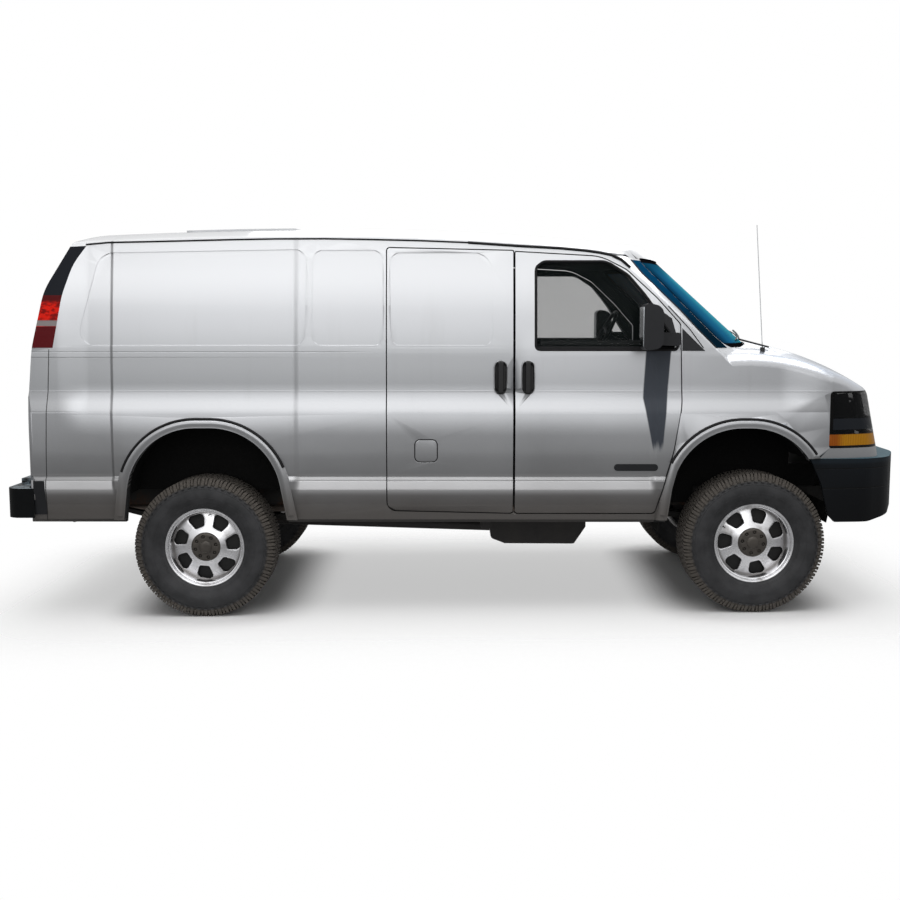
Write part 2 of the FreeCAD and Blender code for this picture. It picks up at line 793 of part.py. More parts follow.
def front_end(shell):
    """Hood, cowl and fenders."""
    lid = prism("xy", hood_corners(0.0), hood_lip_z, 2000.0)
    hood = shell.common(prism("xy", hood_corners(door_gap), hood_lip_z + door_gap, 2000.0))
    inner = prism("xy", hood_corners(door_gap + 8.0), 1600.0, 1640.0)
    band = prism("xy", hood_corners(seat), 1612.0, 1630.0).cut(inner)
    hinges = [
        band.common(box(1900, 2060, y, y + hinge_high, 1600, 1640)) for y in (-690.0, 690.0 - hinge_high)
    ]
    pieces = {"hood": fuse([hood] + hinges)}
    plenum = box(1400, 2200, -hood_half, hood_half, 1480, 1800)
    cowl = shell.common(plenum).cut(windscreen_hole()).cut(prism("xy", hood_corners(0.0), 1300.0, 2000.0))
    pieces["cowl"] = cowl.cut(screen_solid(wall * 2.4))
    grille_gap = box(2200, 3000, -grille_half - seat, grille_half + seat, grille_low_z - seat, hood_lip_z)
    for side, name in ((1, "left"), (-1, "right")):
        piece = shell.common(side_half(side)).cut(side_prism(fender_back_corners(), -1.0, 1300.0, side))
        piece = piece.cut(lid).cut(grille_gap)
        piece = piece.cut(box(1100, hood_rear_x + 100, -hood_half - seat, hood_half + seat, 1300, 2000))
        piece = piece.cut(side_prism(lamp_corners(0.0), grille_half, 1300.0, side))
        piece = piece.cut(side_prism(front_arch_corners(0.0), 300.0, 1300.0, side))
        piece = piece.cut(box(2140, 3000, -1200, 1200, 300, bumper_top_z + seat))
        band = arch_lips(side)[1].cut(box(2100, 3000, -1200, 1200, 300, bumper_top_z + seat))
        band = band.cut(side_prism(fender_back_corners(), 900.0, 1300.0, side))
        pieces["fender_" + name] = piece.fuse(band).removeSplitter()
    return pieces


def lamps_and_grille(outer):
    """Headlamp units with amber lower lenses, and the grille's frame and bars."""
    lens = outer.cut(nose(wall - 12.0))
    units = []
    for side in (1, -1):
        block = lens.common(side_prism(lamp_corners(seat), lamp_inner, 1300.0, side))
        units.append(block.common(box(2200, 3000, -1200, 1200, amber_top_z + seat, 2000)))
        units.append(block.common(box(2200, 3000, -1200, 1200, 900, amber_top_z)))
    rim_layer = nose_plan(0.0).cut(nose_plan(34.0))
    frame = rim_layer.common(box(2200, 3000, -grille_half, grille_half, grille_low_z, hood_lip_z - 1.0))
    frame = frame.common(outer)
    hole_half = grille_half - 30.0
    frame = frame.cut(box(2200, 3000, -hole_half, hole_half, grille_low_z + 28.0, hood_lip_z - 34.0))
    blade = nose_plan(8.0).cut(nose_plan(26.0))
    pitch = (hood_lip_z - 62.0 - grille_low_z) / (grille_bar_count + 1)
    bars = [frame]
    for i in range(grille_bar_count):
        low = grille_low_z + 28.0 + pitch * (i + 1) - 9.0
        bars.append(blade.common(box(2200, 3000, -hole_half - 1, hole_half + 1, low, low + 18.0)))
    bars.append(blade.common(box(2200, 3000, -14, 14, grille_low_z + 20.0, hood_lip_z - 30.0)))
    return Part.makeCompound(units), fuse(bars)


def both_sides(corners):
    """Corners given for the right side, followed by their mirror images."""
    return corners + [(c[0], -c[1]) + tuple(c[2:]) for c in reversed(corners) if abs(c[1]) > 0.5]


def bumper_front_piece():
    """The moulded front bumper, wrapped round to the wheel openings."""
    corners = both_sides([
        (2100.0, -1000.0), (2300.0, -998.0, 900), (2500.0, -985.0, 260), (2672.0, -880.0, 240),
        (2818.0, -560.0, 500), (bumper_front_x, 0.0, 5200),
    ])
    solid = prism("xy", corners, 400.0, 1200.0)
    shell = solid.cut(prism("xy", shrunk(corners, bumper_thick), 300.0, 1300.0))
    side = [
        (2146.0, bumper_top_z), (2220.0, 826.0, 300), (2262.0, 640.0, 60), (2306.0, bumper_low_z, 10),
        (2520.0, bumper_low_z, 120), (2700.0, 628.0, 90), (3000.0, 700.0), (3000.0, bumper_top_z),
    ]
    shell = shell.common(prism("xz", side, -1200.0, 1200.0))
    shelf = solid.common(box(2330, 3000, -1200, 1200, bumper_top_z - 18.0, bumper_top_z))
    void = both_sides([(1900.0, -860.0), (2440.0, -860.0, 80), (2560.0, 0.0, 900)])
    return shell.fuse(shelf.cut(prism("xy", void, 900.0, 1100.0))).removeSplitter()


def bumper_rear_piece():
    """The rear step bumper with end caps round the body's corners and a ball hole."""
    outer = both_sides([(-2560.0, -1004.0), (bumper_rear_x, -1004.0, 90)])
    solid = prism("xy", outer, bumper_rear_low_z, bumper_rear_top_z)
    step = box(bumper_rear_x + 14, -2716.0, -760, 760, bumper_rear_top_z - 4, bumper_step_z)
    solid = solid.fuse(step)
    side = bulge_half + 46
    body = both_sides([(rear_face_x - 18, 36 - side, rear_corner_radius + 16), (3200.0, -side)])
    solid = solid.cut(prism("xy", body, 500.0, 900.0))
    inner_x = bumper_rear_x + bumper_rear_thick
    solid = solid.cut(box(inner_x, -2600, -860, 860, 500, bumper_rear_top_z - 30))
    bore = Part.makeCylinder(hitch_bore, 200, Vector(hitch_x, 0, 700))
    return solid.cut(bore).removeSplitter()


def tail_lamps(shell):
    """Tall corner lamps with the dark filler above each."""
    units = []
    for side in (1, -1):
        block = shell.common(tail_lamp_block(side, seat)).cut(roof_line(roof_split_drop + seat))
        block = block.cut(prism("yz", rear_end_corners(-seat), -2900.0, -2200.0))
        units.append(block.common(box(-2900, -2200, -1200, 1200, 1600, tail_lamp_top_z)))
        units.append(block.common(box(-2900, -2200, -1200, 1200, tail_lamp_top_z + seat, 2700)))
    return Part.makeCompound(units)


def roof_piece(shell):
    """The crowned roof panel with its drip edges."""
    return shell.common(roof_line(roof_split_drop)).cut(windscreen_hole()).removeSplitter()


def roof_vent():
    """A low oblong cover on the roof."""
    middle = (vent_rear_x + vent_front_x) / 2
    plan = square(middle, 0.0, (vent_front_x - vent_rear_x) / 2, vent_half, 60)
    cover = roof_crown(-vent_high, -2900, 2800).cut(roof_crown(-seat, -2900, 2800))
    return cover.common(prism("xy", plan, 2300.0, 2600.0))


# Inside and underneath


def wheel_void(side, front, gap):
    """The room over one wheel, as the wheel housing's inner form grown by a gap."""
    corners = front_arch_corners(18.0 + gap) if front else rear_arch_corners(18.0 + gap)
    inner = front_liner_inner if front else wheelhouse_inner
    return side_prism(corners, inner + wheelhouse_wall - gap, 1030.0, side)


def wheel_housing(side, front):
    """The arched cover over one wheel. A front one is open to the axle on its inner side."""
    shell = wheel_void(side, front, wheelhouse_wall).cut(wheel_void(side, front, 0.0))
    low = 640.0 if front else floor_top_z - floor_thick
    shell = shell.common(box(-2900, 2160, -990, 990, low, 1700))
    if front:
        y0, y1 = sorted((side * (front_liner_inner - 10.0), side * (front_liner_inner + wheelhouse_wall)))
        shell = shell.cut(box(firewall_x + panel_thick, 2400, y0, y1, 500, liner_open_z))
    return shell


def floor_piece(inside):
    """Load floor, firewall, engine cover and wheel housings, each a pressing of its own."""
    half = 990.0
    front = firewall_x + panel_thick
    room = doghouse_half - panel_thick
    rear = doghouse_rear_x + panel_thick
    ceiling = doghouse_top_z - panel_thick
    slab = box(rear_face_x, front, -half, half, floor_top_z - floor_thick, floor_top_z)
    slab = slab.cut(box(rear, front + 1, -room, room, 600, 900))
    plate = box(firewall_x, front, -half, half, floor_top_z + seat, 1800)
    plate = plate.cut(box(1400, 1700, -room, room, 600, ceiling))
    cover_front = firewall_x - seat
    cover = box(doghouse_rear_x, cover_front, -doghouse_half, doghouse_half, floor_top_z + seat, doghouse_top_z)
    cover = cover.cut(box(rear, 1700, -room, room, 600, ceiling))
    pressings = []
    for side in (1, -1):
        for at_front in (False, True):
            clear = wheel_void(side, at_front, wheelhouse_wall + seat)
            slab = slab.cut(clear)
            plate = plate.cut(clear)
            pressings.append(wheel_housing(side, at_front))
    pressings = pressings + [slab, plate]
    cuts = [side_prism(front_door_corners(-door_clearance), 932.0, 1100.0, side) for side in (1, -1)]
    cuts.append(side_prism(side_door_corners(-door_clearance), 932.0, 1100.0, -1))
    room_inside = inside.fuse(front_room())
    trimmed = [pressing.common(room_inside).cut(cuts).removeSplitter() for pressing in pressings]
    return Part.makeCompound(trimmed + [cover])


def front_room():
    """The room ahead of the firewall, where the front wheel housings may reach under the fenders."""
    reach = nose(wall + seat).common(box(1500, 2600, -1100, 1100, 640, 1700))
    return reach


def frame_piece():
    """The ladder frame: two box rails with cross members fitted between them."""
    low = frame_top_z - rail_depth
    half = rail_width / 2
    reach = rail_centre - half - seat
    bars = []
    for side in (1, -1):
        y0 = side * rail_centre - half
        bars.append(box(frame_rear_x, frame_front_x, y0, y0 + rail_width, low, frame_top_z))
    for x in cross_member_x:
        bars.append(box(x - 35, x + 35, -reach, reach, low + 20, frame_top_z - 30))
    return Part.makeCompound(bars)


def leaf_spring(axle_x, axle_z, side):
    """A leaf pack with its eyes' hangers, clamped on the axle."""
    top = frame_top_z - rail_depth - seat
    base = axle_z + axle_tube_radius + seat
    run = spring_half_length
    ends = top - 36.0
    low = Part.Arc(Vector(-run, 0, ends), Vector(0, 0, base + 8), Vector(run, 0, ends)).toShape()
    high = Part.Arc(Vector(run, 0, ends + 22), Vector(0, 0, base + 52), Vector(-run, 0, ends + 22)).toShape()
    wire = Part.Wire([
        low, Part.LineSegment(Vector(run, 0, ends), Vector(run, 0, ends + 22)).toShape(), high,
        Part.LineSegment(Vector(-run, 0, ends + 22), Vector(-run, 0, ends)).toShape(),
    ])
    leaf = Part.Face(wire).extrude(Vector(0, 60, 0))
    leaf.translate(Vector(axle_x, side * rail_centre - 30, 0))
    y0 = side * rail_centre - 34
    parts = [leaf, box(axle_x - 70, axle_x + 70, y0, y0 + 68, base, base + 62)]
    for sense in (1, -1):
        x = axle_x + sense * run
        parts.append(box(x - 26, x + 26, y0, y0 + 68, ends - 14, top))
    return fuse(parts)


def suspension_piece():
    """Four leaf packs, and four dampers beside them inside the rails."""
    parts = []
    for axle_x, axle_z in ((rear_axle_x, rear_axle_z), (front_axle_x, front_axle_z)):
        for side in (1, -1):
            parts.append(leaf_spring(axle_x, axle_z, side))
            y = side * damper_y
            foot = (axle_x, y, axle_z + axle_tube_radius + 17 + seat)
            head = (axle_x - 70, y, frame_top_z - 24)
            sleeve = (axle_x - 32, y, axle_z + 150)
            eye = Part.makeCylinder(17.0, 34, Vector(axle_x, y - 17, foot[2]), Vector(0, 1, 0))
            y_pair = sorted((y, side * (rail_centre - rail_width / 2 - seat)))
            bracket = box(axle_x - 104, axle_x - 36, y_pair[0], y_pair[1], frame_top_z - 60, frame_top_z - 8)
            parts.append(fuse([rod(foot, head, 15.0), rod(sleeve, head, 27.0), eye, bracket]))
    return Part.makeCompound(parts)


def differential(x, y, z, radius):
    """The round housing of an axle's gears, tapered to the tube on both sides."""
    half = [(radius, 0.0), (radius, 46.0), (radius * 0.66, radius * 0.79), (radius * 0.26, radius)]
    return ring_section([(-c[0], c[1]) for c in half] + list(reversed(half)), x, z, y)


def rear_axle_piece():
    """The rear axle: tube, differential, and the brake plate and spindle at each end."""
    z = rear_axle_z
    x = rear_axle_x
    parts = [rod((x, -track_half + 30, z), (x, track_half - 30, z), axle_tube_radius)]
    parts.append(differential(x, 0.0, z, 150.0))
    parts.append(rod((x, 0, z + 20), (x + 210, 0, z + 20), 62.0))
    for side in (1, -1):
        parts.append(rod((x, side * (track_half - 46), z), (x, side * (track_half - 22), z), brake_radius))
        parts.append(rod((x, side * (track_half - 30), z), (x, side * (track_half + 28), z), spindle_radius))
    return fuse(parts)


def front_axle_piece():
    """The front axle: tube, offset differential, and the yoke that holds each knuckle."""
    z = front_axle_z
    x = front_axle_x
    end = kingpin_y - 62
    parts = [rod((x, -end, z), (x, end, z), axle_tube_radius)]
    parts.append(differential(x, front_diff_y, z, 132.0))
    parts.append(rod((x, front_diff_y, z + 6), (x - 200, front_diff_y, z + 6), 52.0))
    for side in (1, -1):
        y0, y1 = sorted((side * (end - 14), side * (end + 10)))
        parts.append(box(x - 42, x + 42, y0, y1, z - yoke_half, z + yoke_half))
        y0, y1 = sorted((side * end, side * (kingpin_y + 24)))
        for low in (-yoke_half, yoke_half - yoke_thick):
            parts.append(box(x - 26, x + 26, y0, y1, z + low, z + low + yoke_thick))
    return fuse(parts)


def knuckle(side):
    """A steering knuckle: kingpin post, brake plate, spindle, and the arm to the tie rod."""
    z = front_axle_z
    x = front_axle_x
    y = side * kingpin_y
    reach = yoke_half - yoke_thick - 1.0
    parts = [Part.makeCylinder(kingpin_radius, 2 * reach, Vector(x, y, z - reach))]
    parts.append(rod((x, y, z), (x, side * (track_half + 28), z), spindle_radius))
    parts.append(rod((x, side * (track_half - 46), z), (x, side * (track_half - 22), z), brake_radius))
    lift = yoke_half + 6
    riser = sorted((side * (kingpin_y + 38), side * (kingpin_y + 56)))
    parts.append(box(x - 34, x + 34, riser[0], riser[1], z, z + lift + 18))
    arm = sorted((side * (kingpin_y - 22), side * (kingpin_y + 56)))
    parts.append(box(x - steer_arm - 24, x + 34, arm[0], arm[1], z + lift, z + lift + 18))
    parts.append(Part.makeCylinder(9.0, 30, Vector(x - steer_arm, y, z + lift + 17)))
    return fuse(parts)


def tie_rod():
    """The rod between the two steering arms, with an eye at each stud."""
    z = front_axle_z + yoke_half + 6 + 18 + 11
    x = front_axle_x - steer_arm
    parts = [rod((x, 14 - kingpin_y, z), (x, kingpin_y - 14, z), 10.0)]
    for side in (1, -1):
        parts.append(Part.makeCylinder(20.0, 20, Vector(x, side * kingpin_y, z - 10)))
    solid = fuse(parts)
    for side in (1, -1):
        solid = solid.cut(Part.makeCylinder(9.4, 60, Vector(x, side * kingpin_y, z - 30)))
    return solid


def powertrain_piece():
    """Engine, gearbox and transfer case with mounts, shafts and the support bar, and the radiator."""
    rail_inner = rail_centre - rail_width / 2 - seat
    under_rail = frame_top_z - rail_depth - seat
    rear = engine_rear_x - seat
    bell = [
        (560, gearbox_low_z), (1000, gearbox_low_z, 30), (rear, 660), (rear, 735), (1000, 722, 40), (560, 690),
    ]
    top = gearbox_low_z - seat
    case = [
        (transfer_rear_x, 340, 30), (300, 302, 20), (780, 300, 20), (transfer_front_x, 420),
        (transfer_front_x, top), (transfer_rear_x, top),
    ]
    bar_x = transfer_rear_x - seat
    blocks = [
        box(engine_rear_x, 1860, -engine_half, engine_half, 645, 1180),
        prism("xz", bell, -150, 150),
        prism("xz", case, -200, 235),
        box(bar_x - 70, bar_x, -rail_centre, rail_centre, 440, top),
        box(2425, 2485, -450, 450, frame_top_z + seat, 1330),
    ]
    for side in (1, -1):
        y0, y1 = sorted((side * (rail_centre - 30), side * rail_centre))
        blocks.append(box(bar_x - 70, bar_x, y0, y1, top + seat, under_rail))
        y0, y1 = sorted((side * (engine_half + seat), side * rail_inner))
        blocks.append(box(1480, 1560, y0, y1, 655, 720))
    rear_end = (rear_axle_x + 210 + shaft_gap, 0, rear_axle_z + 20)
    front_end_spot = (front_axle_x - 200 - shaft_gap, front_diff_y, front_axle_z + 6)
    blocks.append(rod((transfer_rear_x - 1.5, 0, 395), rear_end, 38.0))
    blocks.append(rod((transfer_front_x + 0.7, front_diff_y, 470), front_end_spot, 30.0))
    return Part.makeCompound(blocks)


def fuel_tank():
    """A flat tank hung beside the left rail."""
    inner = rail_centre + rail_width / 2 + seat
    corners = [(inner, 500.0, 40), (820.0, 500.0, 40), (820.0, 700.0, 40), (inner, 700.0, 10)]
    return prism("yz", corners, -1000.0, 120.0)


def exhaust_piece():
    """The pipe from the gearbox past the rear axle, with its muffler."""
    z = 566.0
    y = -262.0
    spots = [
        (engine_rear_x - seat, -190.0, 690.0), (1120.0, -190.0, 690.0), (980.0, y, z),
        (-2400.0, y, z), (-2540.0, -640.0, z - 10),
    ]
    parts = [rod(first, last, 30.0) for first, last in zip(spots, spots[1:])]
    parts = parts + [Part.makeSphere(30.0, Vector(*spot)) for spot in spots[1:-1]]
    parts.append(rod((-300.0, y, z - 20), (-900.0, y, z - 20), 58.0))
    return fuse(parts)


def steering_ring(centre, normal, along):
    """The steering wheel's rim, eight-sided in section."""
    spots = []
    for i in range(8):
        turn = math.radians(45.0 * i)
        spots.append(centre + along * (186.0 + 14.0 * math.cos(turn)) + normal * (14.0 * math.sin(turn)))
    return Part.Face(Part.makePolygon(spots + spots[:1])).revolve(centre, normal, 360)


def dashboard_piece(inside):
    """The dashboard across the cab, with the steering column and its wheel."""
    corners = [
        (firewall_x - seat, doghouse_top_z + 8), (1270.0, doghouse_top_z + 8, 30), (1205.0, 1430.0, 60),
        (1228.0, 1626.0, 40), (firewall_x - seat, 1652.0),
    ]
    panel = prism("xz", corners, -880.0, 880.0).common(inside)
    tilt = math.radians(63.0)
    along = Vector(math.cos(tilt), 0, math.sin(tilt))
    normal = Vector(-along.z, 0, along.x)
    centre = Vector(1046.0, steering_y, 1742.0)
    parts = [
        panel, steering_ring(centre, normal, along),
        Part.makeCylinder(52.0, 30.0, centre - normal * 50, normal),
        Part.makeCylinder(26.0, 260.0, centre - normal * 290, normal),
    ]
    start = centre - normal * 34
    for angle in (20.0, 160.0, 270.0):
        turn = math.radians(angle)
        tip = centre + (Vector(0, math.cos(turn), 0) + along * math.sin(turn)) * 182.0
        parts.append(Part.makeCylinder(10.0, (tip - start).Length, start, tip - start))
    return fuse(parts)


def seat_solids():
    """Two bucket seats on boxes bolted to the floor."""
    solids = []
    cushion = [(540, 1000, 30), (1050, 1000, 40), (1050, 1150, 50), (560, 1120, 40)]
    back = [(430, 1060, 40), (565, 1090, 30), (470, 1740, 50), (330, 1730, 50)]
    rest = [(345, 1755, 30), (435, 1762, 30), (415, 1905, 40), (330, 1900, 40)]
    for side in (1, -1):
        y = side * seat_y
        parts = [box(610, 990, y - 190, y + 190, floor_top_z + seat, 1010)]
        parts.append(prism("xz", cushion, y - 250, y + 250))
        parts.append(prism("xz", back, y - 235, y + 235))
        parts.append(prism("xz", rest, y - 120, y + 120))
        parts = parts + [rod((395, y + d, 1700), (390, y + d, 1800), 7.0) for d in (-60, 60)]
        solids.append(fuse(parts))
    return Part.makeCompound(solids)


def antenna_piece(outer):
    """A whip aerial standing on the right fender."""
    foot = Vector(1884.0, -antenna_y, antenna_foot_z)
    tip = Vector(1826.0, -antenna_y, 2425.0)
    base = Part.makeCylinder(15.0, 46.0, foot - Vector(0, 0, 20))
    mast = Part.makeCylinder(2.6, (tip - foot).Length, foot, tip - foot)
    lifted = outer.translated(Vector(0, 0, seat))
    return base.fuse(mast).cut(lifted).removeSplitter()


def tyre(side, axle_x, axle_z):
    """A wide tyre as a plain ring in short flats, standing on one of them."""
    half = tyre_width / 2
    bead = rim_seat_radius + seat
    right = [
        (109.5, bead), (111.5, rim_flange_radius + 0.6), (half - 10, 268.0), (half, 330.0), (half - 8, 402.0),
        (half - 26, tyre_radius),
    ]
    left = [(-c[0],) + tuple(c[1:]) for c in reversed(right)]
    return flat_ring(right + left, axle_x, axle_z, side * track_half)


def flat_ring(corners, centre_x, centre_z, y_centre):
    """A ring about a line along Y, in equal flats whose middles are at the corners' radii."""
    step = 2 * math.pi / tyre_flats
    stretch = 1.0 / math.cos(step / 2)
    rows = []
    for i in range(tyre_flats):
        turn = (i + 0.5) * step + rake
        rows.append([
            Vector(
                centre_x + c[1] * stretch * math.sin(turn), y_centre + c[0], centre_z - c[1] * stretch * math.cos(turn)
            ) for c in corners
        ])
    faces = []
    for i in range(tyre_flats):
        for j in range(len(corners)):
            spots = [rows[i - 1][j - 1], rows[i - 1][j], rows[i][j], rows[i][j - 1]]
            faces.append(Part.Face(Part.makePolygon(spots + spots[:1])))
    return Part.Solid(Part.Shell(faces))


def rim(side, axle_x, axle_z):
    """A dished alloy wheel with seven windows and a hub cap."""
    flange = rim_flange_radius
    barrel = [
        (-124, flange), (-112, flange), (-110, rim_seat_radius), (110, rim_seat_radius),
        (112, flange), (124, flange), (124, 238), (104, 217), (-104, 217), (-124, 238),
    ]
    disc = [
        (28, 222), (56, 222), (52, 206), (78, 112), (86, hub_cap_radius), (114, 84), (116, 0.0),
        (-8, 0.0), (-8, 74), (40, 80), (48, 110),
    ]
    parts = []
    for corners in (barrel, disc):
        turned = [(side * c[0],) + tuple(c[1:]) for c in corners]
        parts.append(ring_section(turned, axle_x, axle_z, side * track_half))
    wheel = fuse(parts)
    window = [(-31.0, 126.0, 14), (31.0, 126.0, 14), (56.0, 203.0, 22), (-56.0, 203.0, 22)]
    low, high = sorted((side * (track_half + 10), side * (track_half + 110)))
    for i in range(rim_window_count):
        hole = prism("xz", window, low, high)
        hole.rotate(Vector(0, 0, 0), Vector(0, 1, 0), 360.0 / rim_window_count * i)
        hole.translate(Vector(axle_x, 0, axle_z))
        wheel = wheel.cut(hole)
    low, high = sorted((side * (track_half - 20), side * (track_half + 32)))
    bore = Part.makeCylinder(spindle_radius + seat, high - low, Vector(axle_x, low, axle_z), Vector(0, 1, 0))
    return wheel.cut(bore)


# The whole van


def build():
    """Every piece by name, with the body lines level."""
    outer = cabin(0.0).fuse(nose(0.0))
    shell = outer.cut(cabin(wall).fuse(nose(wall)))
    inside = cabin(wall + seat)
    sunk = side_section(0.0).cut(side_section(press_depth))
    pieces = {}
    pieces["frame"] = frame_piece()
    pieces["floor"] = floor_piece(inside)
    pieces["roof"] = roof_piece(shell)
    for side, name in ((1, "left"), (-1, "right")):
        pieces["body_side_" + name] = body_side(side, shell, sunk)
        pieces["door_front_" + name] = front_door(side, shell)
        pieces["mirror_" + name] = mirror(side)
        pieces["knuckle_" + name] = knuckle(side)
    pieces["door_side"] = side_door(shell, sunk)
    for name, leaf in rear_doors(shell).items():
        pieces["door_rear_" + name] = leaf
    pieces.update(glazing())
    pieces.update(front_end(shell))
    pieces["headlamps"], pieces["grille"] = lamps_and_grille(nose(0.0))
    pieces["tail_lamps"] = tail_lamps(shell)
    pieces["bumper_front"] = bumper_front_piece()
    pieces["bumper_rear"] = bumper_rear_piece()
    pieces["roof_vent"] = roof_vent()
    pieces["antenna"] = antenna_piece(outer)
    pieces["dashboard"] = dashboard_piece(inside)
    pieces["seats"] = seat_solids()
    pieces["powertrain"] = powertrain_piece()
    pieces["fuel_tank"] = fuel_tank()
    pieces["exhaust"] = exhaust_piece()
    pieces["suspension"] = suspension_piece()
    pieces["axle_front"] = front_axle_piece()
    pieces["axle_rear"] = rear_axle_piece()
    pieces["tie_rod"] = tie_rod()
    for side, name in ((1, "left"), (-1, "right")):
        for end, axle_x, axle_z in (("front", front_axle_x, front_axle_z), ("rear", rear_axle_x, rear_axle_z)):
            pieces["tyre_" + end + "_" + name] = tyre(side, axle_x, axle_z)
            pieces["rim_" + end + "_" + name] = rim(side, axle_x, axle_z)
    return pieces


def lean(shape):
    """The shape leaned nose down by the van's rake, over the middle of its footprint."""
    leaned = shape.copy()
    leaned.rotate(Vector(0, 0, 0), Vector(0, 1, 0), rake_degrees)
    leaned.translate(Vector(centre_shift_x, 0, 0))
    return leaned


os.makedirs("parts", exist_ok=True)
for piece_name, piece_shape in build().items():
    lean(piece_shape).exportStep("parts/" + piece_name + ".step")
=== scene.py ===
import math

import bmesh
import bpy
from mathutils import Matrix, Vector
from mathutils.bvhtree import BVHTree


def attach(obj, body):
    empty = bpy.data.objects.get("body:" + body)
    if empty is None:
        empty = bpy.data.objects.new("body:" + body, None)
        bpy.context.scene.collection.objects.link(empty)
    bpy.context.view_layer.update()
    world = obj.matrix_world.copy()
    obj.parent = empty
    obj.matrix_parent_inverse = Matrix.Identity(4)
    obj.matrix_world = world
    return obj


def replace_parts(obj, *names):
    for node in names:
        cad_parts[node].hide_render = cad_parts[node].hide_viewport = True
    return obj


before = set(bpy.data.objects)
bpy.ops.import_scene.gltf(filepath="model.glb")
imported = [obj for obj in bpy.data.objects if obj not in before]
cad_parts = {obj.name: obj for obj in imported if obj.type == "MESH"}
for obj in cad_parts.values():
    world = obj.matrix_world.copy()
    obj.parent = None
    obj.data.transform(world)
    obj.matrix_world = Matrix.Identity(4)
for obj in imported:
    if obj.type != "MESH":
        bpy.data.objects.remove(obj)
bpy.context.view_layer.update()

# Camera and studio
# A normal lens stands square to the right side, a little above the beltline and tipped slightly down.
# The van is drawn with its sills level and leaned by its rake, and the camera is leaned with it.

RAKE = Matrix.Translation((-0.0069, 0, 0)) @ Matrix.Rotation(math.radians(0.515), 4, "Y")


def placed(name, data):
    """An object for some data, linked into the scene."""
    made = bpy.data.objects.new(name, data)
    bpy.context.scene.collection.objects.link(made)
    return made


camera = placed("camera", bpy.data.cameras.new("camera"))
camera.data.lens = 44.23
camera.data.sensor_width = 36.0
stand = Matrix.Translation((-0.04897, -7.7783, 1.7814))
stand = stand @ Matrix.Rotation(0.0042, 4, "Z") @ Matrix.Rotation(math.pi / 2 - 0.1087, 4, "X")
camera.matrix_world = RAKE @ stand
bpy.context.scene.camera = camera
bpy.context.scene.view_settings.view_transform = "Standard"


class Signal:
    """One output of a node. A sum written with signals adds its Math nodes."""

    def __init__(self, tree, output):
        self.tree = tree
        self.output = output

    def node(self, kind, settings=None, inputs=None, output=0):
        """A node of the given type: its settings first, then the values or links of its sockets."""
        made = self.tree.nodes.new(kind)
        for key, value in (settings or {}).items():
            setattr(made, key, value)
        for key, value in (inputs or {}).items():
            if isinstance(value, Signal):
                self.tree.links.new(value.output, made.inputs[key])
            else:
                made.inputs[key].default_value = value
        return Signal(self.tree, made.outputs[output])

    def sum(self, operation, *values):
        return self.node("ShaderNodeMath", {"operation": operation}, dict(enumerate(values)))

    def __add__(self, other):
        return self.sum("ADD", self, other)

    def __sub__(self, other):
        return self.sum("SUBTRACT", self, other)

    def __rsub__(self, other):
        return self.sum("SUBTRACT", other, self)

    def __mul__(self, other):
        return self.sum("MULTIPLY", self, other)

    def __truediv__(self, other):
        return self.sum("DIVIDE", self, other)

    __radd__, __rmul__ = __add__, __mul__

    def size(self):
        return self.sum("ABSOLUTE", self)

    def least(self, other):
        return self.sum("MINIMUM", self, other)

    def most(self, other):
        return self.sum("MAXIMUM", self, other)

    def root(self):
        return self.sum("SQRT", self)

    def wave(self):
        return self.sum("SINE", self)

    def ramp(self, low, high):
        """0 below low, 1 above high, smooth between. Low may be above high."""
        return self.node(
            "ShaderNodeMapRange", {"interpolation_type": "SMOOTHSTEP"},
            {"Value": self, "From Min": low, "From Max": high, "To Min": 0.0, "To Max": 1.0},
        )

    def past(self, start, span):
        """How far this is past a start, up to a span."""
        return (self - start).most(0.0).least(span)

    def line(self, value, outside, inside):
        """1 where this has a value, fading to 0 between two distances from it."""
        return (self - value).size().ramp(outside, inside)

    def axis(self, which):
        return self.node("ShaderNodeSeparateXYZ", None, {0: self}, "XYZ".index(which))

    def facing(self):
        """The surface's own normal, which turns with the piece."""
        return self.node("ShaderNodeTexCoord", output="Normal")

    def band(self):
        """The piece's own map: distance out from the wheel's middle, then radius, in metres."""
        return self.node("ShaderNodeUVMap", {"uv_map": "band"})

    def stretched(self, x, y, z):
        return self.node("ShaderNodeMapping", None, {"Vector": self, "Scale": (x, y, z)})

    def noise(self, scale, detail=3.0, roughness=0.55):
        return self.node(
            "ShaderNodeTexNoise", None, {"Vector": self, "Scale": scale, "Detail": detail, "Roughness": roughness}
        )

    def mixed(self, first, second):
        """The first colour where this mask is 0 and the second where it is 1."""
        ends = [(*c, 1.0) if isinstance(c, tuple) and len(c) == 3 else c for c in (first, second)]
        return self.node("ShaderNodeMix", {"data_type": "RGBA"}, {0: self, 6: ends[0], 7: ends[1]}, 2)


def finish(name, paint, **fixed):
    """A material: paint(place) gives what changes over the surface, and the rest is set on the shader."""
    made = bpy.data.materials.new(name)
    made.use_nodes = True
    tree = made.node_tree
    shader = tree.nodes["Principled BSDF"]
    place = Signal(tree, tree.nodes.new("ShaderNodeTexCoord").outputs["Object"])
    for socket, value in paint(place).items():
        if socket == "Relief":
            height, depth = value
            value = place.node("ShaderNodeBump", None, {"Height": height, "Distance": depth, "Strength": 1.0})
            socket = "Normal"
        if isinstance(value, Signal):
            tree.links.new(value.output, shader.inputs[socket])
        else:
            shader.inputs[socket].default_value = value
    for socket, value in fixed.items():
        shader.inputs[socket.replace("_", " ")].default_value = value
    return made


